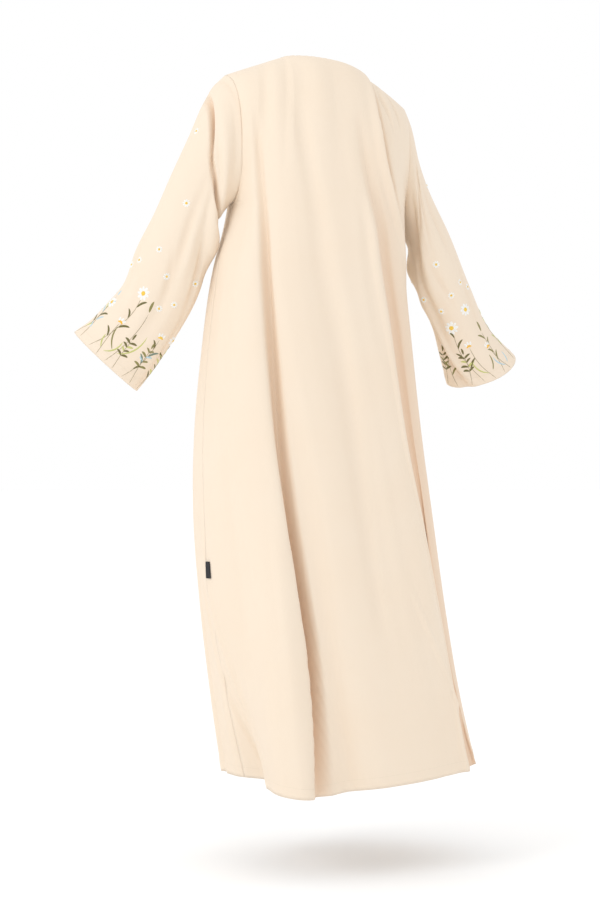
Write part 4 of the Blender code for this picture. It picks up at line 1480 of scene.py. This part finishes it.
def plant_parts(plant):
    own = (plant["foot"] * GOLDEN_SHARE) % 1
    line = stem_line(plant["tall"], plant["sway"])
    parts = [("tan", *patch(line, STEM_WIDTH, stem_shape, STEM_RISE))]
    parts += blades_of(plant) if plant["kind"] == "grass" else leaves_of(plant, line, own)
    heading = line[-1] - line[-2]
    heading /= np.linalg.norm(heading)
    if plant["head"] == "daisy":
        return parts + daisy(line[-1], BIG_DAISY * (SMALLEST_HEAD + HEAD_RANGE * own), own * 2)
    if plant["head"] == "bud":
        return parts + bud(line[-1], heading, own)
    tip = dict(zip(TIP_COLUMNS, TIPS[plant["head"]]))
    tip_line = bent_line(line[-1], line[-1] + heading * tip["long"], TIP_BOW)
    return parts + [leaf_patch(plant["thread"], tip_line, tip["wide"])]


print("example plant has", len(plant_parts(dict(zip(PLANT_COLUMNS, PLANTS[1][0])))), "patches")

# %% [markdown]
# ## Embroidery thread
# Rayon thread is glossy, and its threads lie side by side across each leaf. A wave bump with a step
# of a third of a millimetre, read along the leaf, gives that ribbed shine, and a little noise
# keeps the colour from being flat.

# %% Thread materials
THREADS = {
    "white": (0.96, 0.96, 0.93),
    "yellow": (0.96, 0.62, 0.07),
    "orange": (0.95, 0.53, 0.05),
    "dark_olive": (0.165, 0.142, 0.036),
    "olive": (0.280, 0.250, 0.078),
    "yellow_green": (0.62, 0.63, 0.22),
    "sage": (0.200, 0.270, 0.215),
    "pale_blue": (0.52, 0.70, 0.78),
    "tan": (0.36, 0.30, 0.17),
    "stitching": (0.80, 0.69, 0.53),
}
THREAD_ROUGHNESS = 0.42
THREAD_SHEEN = 0.15
THREAD_DARKER = 0.84
FLECKS_PER_METRE = 900
SATIN_THREADS_PER_METRE = 3000
SATIN_DEPTH = 0.00012


def thread_material(name, colour):
    made, tree, shader, place = textured_material(name + " thread", colour, THREAD_ROUGHNESS, "thread")
    satin = SATIN_THREADS_PER_METRE / WAVES_PER_SCALE
    uneven = texture(tree, place, "ShaderNodeTexNoise", Scale=FLECKS_PER_METRE, Detail=2.0)
    ribs = texture(tree, place, "ShaderNodeTexWave", Scale=satin, Distortion=0.6)
    darker = tuple(part * THREAD_DARKER for part in colour)
    tint = mixed_colours(tree, uneven, colour, darker)
    tree.links.new(tint.outputs["Result"], shader.inputs["Base Color"])
    ribbed = bump_map(tree, ribs, 0.6, SATIN_DEPTH)
    tree.links.new(ribbed.outputs["Normal"], shader.inputs["Normal"])
    shader.inputs["Sheen Weight"].default_value = THREAD_SHEEN
    return made


thread_of = {name: thread_material(name, colour) for name, colour in THREADS.items()}
print("threads:", ", ".join(thread_of))

# %% [markdown]
# ## Stitching the sleeves
# The patches of one sleeve are laid on its cloth and joined into one mesh with one material slot
# for each thread. One piece for each sleeve is easier to show, hide or recolour than hundreds.

# %% Embroidery of the sleeves
def joined_piece(name, grids, threads):
    """One mesh out of many small grids. Each grid is (thread, points, uv)."""
    points, squares, uvs, thread_numbers = [], [], [], []
    start = 0
    for thread, grid, uv in grids:
        faces = grid_points(grid, False)
        points.append(grid.reshape(-1, 3))
        squares.append(faces + start)
        uvs.append(uv.reshape(-1, 2))
        thread_numbers.append(np.full(len(faces), threads.index(thread), np.int32))
        start += len(points[-1])
    squares = np.concatenate(squares)
    mesh = mesh_of(name, np.concatenate(points), squares, "thread", np.concatenate(uvs))
    for thread in threads:
        mesh.materials.append(thread_of[thread])
    mesh.polygons.foreach_set("material_index", np.concatenate(thread_numbers))
    print(name, "patches", len(grids), "squares", len(squares))
    return add_piece(mesh)


def embroidered(side):
    """Every patch of a sleeve's embroidery, laid on the cloth."""
    grids = []
    for values in PLANTS[side]:
        plant = dict(zip(PLANT_COLUMNS, values))
        for thread, over, up, lift, uv in plant_parts(plant):
            grids.append((thread, on_sleeve(side, plant["foot"], over, up, lift), uv))
    for values in LOOSE_DAISIES[side]:
        loose = dict(zip(LOOSE_DAISY_COLUMNS, values))
        centre = np.array((0, loose["up"]))
        for thread, over, up, lift, uv in daisy(centre, loose["across"], loose["foot"]):
            grids.append((thread, on_sleeve(side, loose["foot"], over, up, lift), uv))
    return grids


flower_threads = [name for name in THREADS if name != "stitching"]
for side, name in sleeve_names.items():
    joined_piece(name + "_embroidery", embroidered(side), flower_threads)

# %% [markdown]
# ## Topstitching
# Hem, front edges, neck and cuffs are turned in and held by a line of machine stitches, about three
# millimetres each. Every stitch is its own small lens of thread that dips into the cloth at both
# ends. The line is found on the cloth first: a fixed distance in from the edge all along it.

# %% Lines of stitches
STITCH_PITCH = 0.0032
STITCH_LONG = 0.0026
STITCH_WIDE = 0.0006
STITCH_RISE = 0.0003
STITCH_STEPS = 5
STITCH_WIDTHS = 3
STITCH_ROUNDNESS = 0.6
STITCH_END_SHARE = 0.4


def line_inside(points, outward, axis, end, distance):
    """The line on the cloth a fixed distance in from one edge, and its directions out."""
    if axis == 1:
        points, outward = points.transpose(1, 0, 2), outward.transpose(1, 0, 2)
    inward = length_from(points, 0, end)
    order = slice(None) if end == 0 else slice(None, None, -1)
    rows = np.array([
        np.interp(distance, inward[order, c], np.arange(len(points))[order])
        for c in range(points.shape[1])
    ])
    columns = np.arange(points.shape[1]).astype(float)
    return between(points, rows, columns), between(outward, rows, columns)


def stitches(line, outward):
    """Small lenses of thread along a line on the cloth, one to each stitch."""
    run = length_along(line)
    shape = lens_shape(np.linspace(0, 1, STITCH_STEPS))
    widths = np.linspace(-1, 1, STITCH_WIDTHS)
    grids = []
    for number in range(int(run[-1] / STITCH_PITCH)):
        middle = (number + 1 / 2) * STITCH_PITCH
        at = middle + STITCH_LONG * np.linspace(-1 / 2, 1 / 2, STITCH_STEPS)
        spots = np.stack([np.interp(at, run, line[:, i]) for i in range(3)], axis=1)
        out = np.stack([np.interp(at, run, outward[:, i]) for i in range(3)], axis=1)
        heading = spots[-1] - spots[0]
        side = np.cross(out, heading / np.linalg.norm(heading))
        lift = CLOTH_FACE + STITCH_RISE * shape[:, None] * (1 - STITCH_ROUNDNESS * widths**2)
        wide = STITCH_END_SHARE + (1 - STITCH_END_SHARE) * shape
        over = (STITCH_WIDE / 2) * wide[:, None] * widths
        grid = spots[:, None] + side[:, None] * over[..., None] + out[:, None] * lift[..., None]
        uv = np.stack([np.broadcast_to(at[:, None], over.shape), over], axis=-1)
        grids.append(("stitching", grid, uv))
    return grids


def panel_stitches(name, edges):
    grids = []
    for (axis, end), width, keep in edges:
        line, outward = line_inside(cloth[name], facing[name], axis, end, stitched_at(width))
        grids += stitches(line[keep], outward[keep])
    return grids


FREE_COLUMNS_AT_CORNER = 4
all_along = slice(None)
nape_columns = slice(SHOULDER_STEPS * FINER, (SHOULDER_STEPS + BACK_NECK_STEPS) * FINER + 1)
front_neck_columns = slice(SHOULDER_STEPS * FINER, -FREE_COLUMNS_AT_CORNER)
along_hem = (BOTTOM, HEM_WIDTH, all_along)
front_edges = (along_hem, (LAST, EDGE_BAND, all_along), (TOP, NECK_BAND, front_neck_columns))
cuff_edges = ((BOTTOM, CUFF_BAND, all_along),)
STITCHED_EDGES = {
    "back": (along_hem, (TOP, NECK_BAND, nape_columns)),
    "left_front": front_edges,
    "right_front": front_edges,
    "left_sleeve": cuff_edges,
    "right_sleeve": cuff_edges,
}
for name, edges in STITCHED_EDGES.items():
    joined_piece(name + "_stitches", panel_stitches(name, edges), ["stitching"])

# %% [markdown]
# ## The tab in the side seam
# A short loop of plain black tape is caught in the left side seam, a metre down. It is a strip
# folded double: it leaves the seam, turns back on itself and goes in again. It carries nothing.

# %% Folded tape
TAB_DROPS = (0.969, 1.001)
TAB_ROWS = 14
TAB_SECTION_COLUMNS = ("from_seam", "lift")
TAB_SECTION = (
    (0.0010, 0.0013), (0.0050, 0.0012), (0.0100, 0.0012), (0.0130, 0.0013), (0.0140, 0.0018),
    (0.0142, 0.0022), (0.0138, 0.0027), (0.0128, 0.0030), (0.0095, 0.0030), (0.0045, 0.0028),
    (0.0010, 0.0026),
)
TAPE_THICKNESS = 0.0005
TAPE_BLACK = (0.012, 0.012, 0.014)
TAPE_WORN_BLACK = (0.030, 0.030, 0.034)
TAPE_ROUGHNESS = 0.8
TAPE_RIBS_PER_METRE = 1600
TAPE_RIB_DEPTH = 0.00015
FUZZ_PER_METRE = 1400


def tape_material():
    made, tree, shader, place = textured_material(
        "black woven tape", TAPE_BLACK, TAPE_ROUGHNESS, "thread"
    )
    rib_scale = TAPE_RIBS_PER_METRE / WAVES_PER_SCALE
    ribs = texture(tree, place, "ShaderNodeTexWave", Scale=rib_scale, Distortion=0.4)
    fuzz = texture(tree, place, "ShaderNodeTexNoise", Scale=FUZZ_PER_METRE, Detail=2.0)
    tint = mixed_colours(tree, fuzz, TAPE_BLACK, TAPE_WORN_BLACK)
    tree.links.new(tint.outputs["Result"], shader.inputs["Base Color"])
    woven = bump_map(tree, ribs, 0.5, TAPE_RIB_DEPTH)
    tree.links.new(woven.outputs["Normal"], shader.inputs["Normal"])
    return made


def add_tab():
    drops = np.linspace(*TAB_DROPS, TAB_ROWS)
    rows = np.interp(drops, -cloth["back"][:, 0, 2], np.arange(len(down)))
    over = length_from(cloth["back"], 1, 0)
    fold = column(TAB_SECTION, TAB_SECTION_COLUMNS, "from_seam")
    lift = column(TAB_SECTION, TAB_SECTION_COLUMNS, "lift")
    run = length_along(np.stack([fold, lift], axis=1))
    points, uv = [], []
    for row, drop in zip(rows, drops):
        columns = np.interp(fold, over[int(row)], np.arange(over.shape[1]))
        at = np.full(fold.shape, row)
        spots = between(cloth["back"], at, columns)
        points.append(spots + between(facing["back"], at, columns) * lift[:, None])
        uv.append(np.stack([run, np.full(run.shape, drop)], axis=1))
    thread_of["black_tape"] = tape_material()
    strip = ("black_tape", np.array(points), np.array(uv))
    tab = joined_piece("folded_tab", [strip], ["black_tape"])
    thicken(tab, TAPE_THICKNESS)
    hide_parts("side_tab")


add_tab()
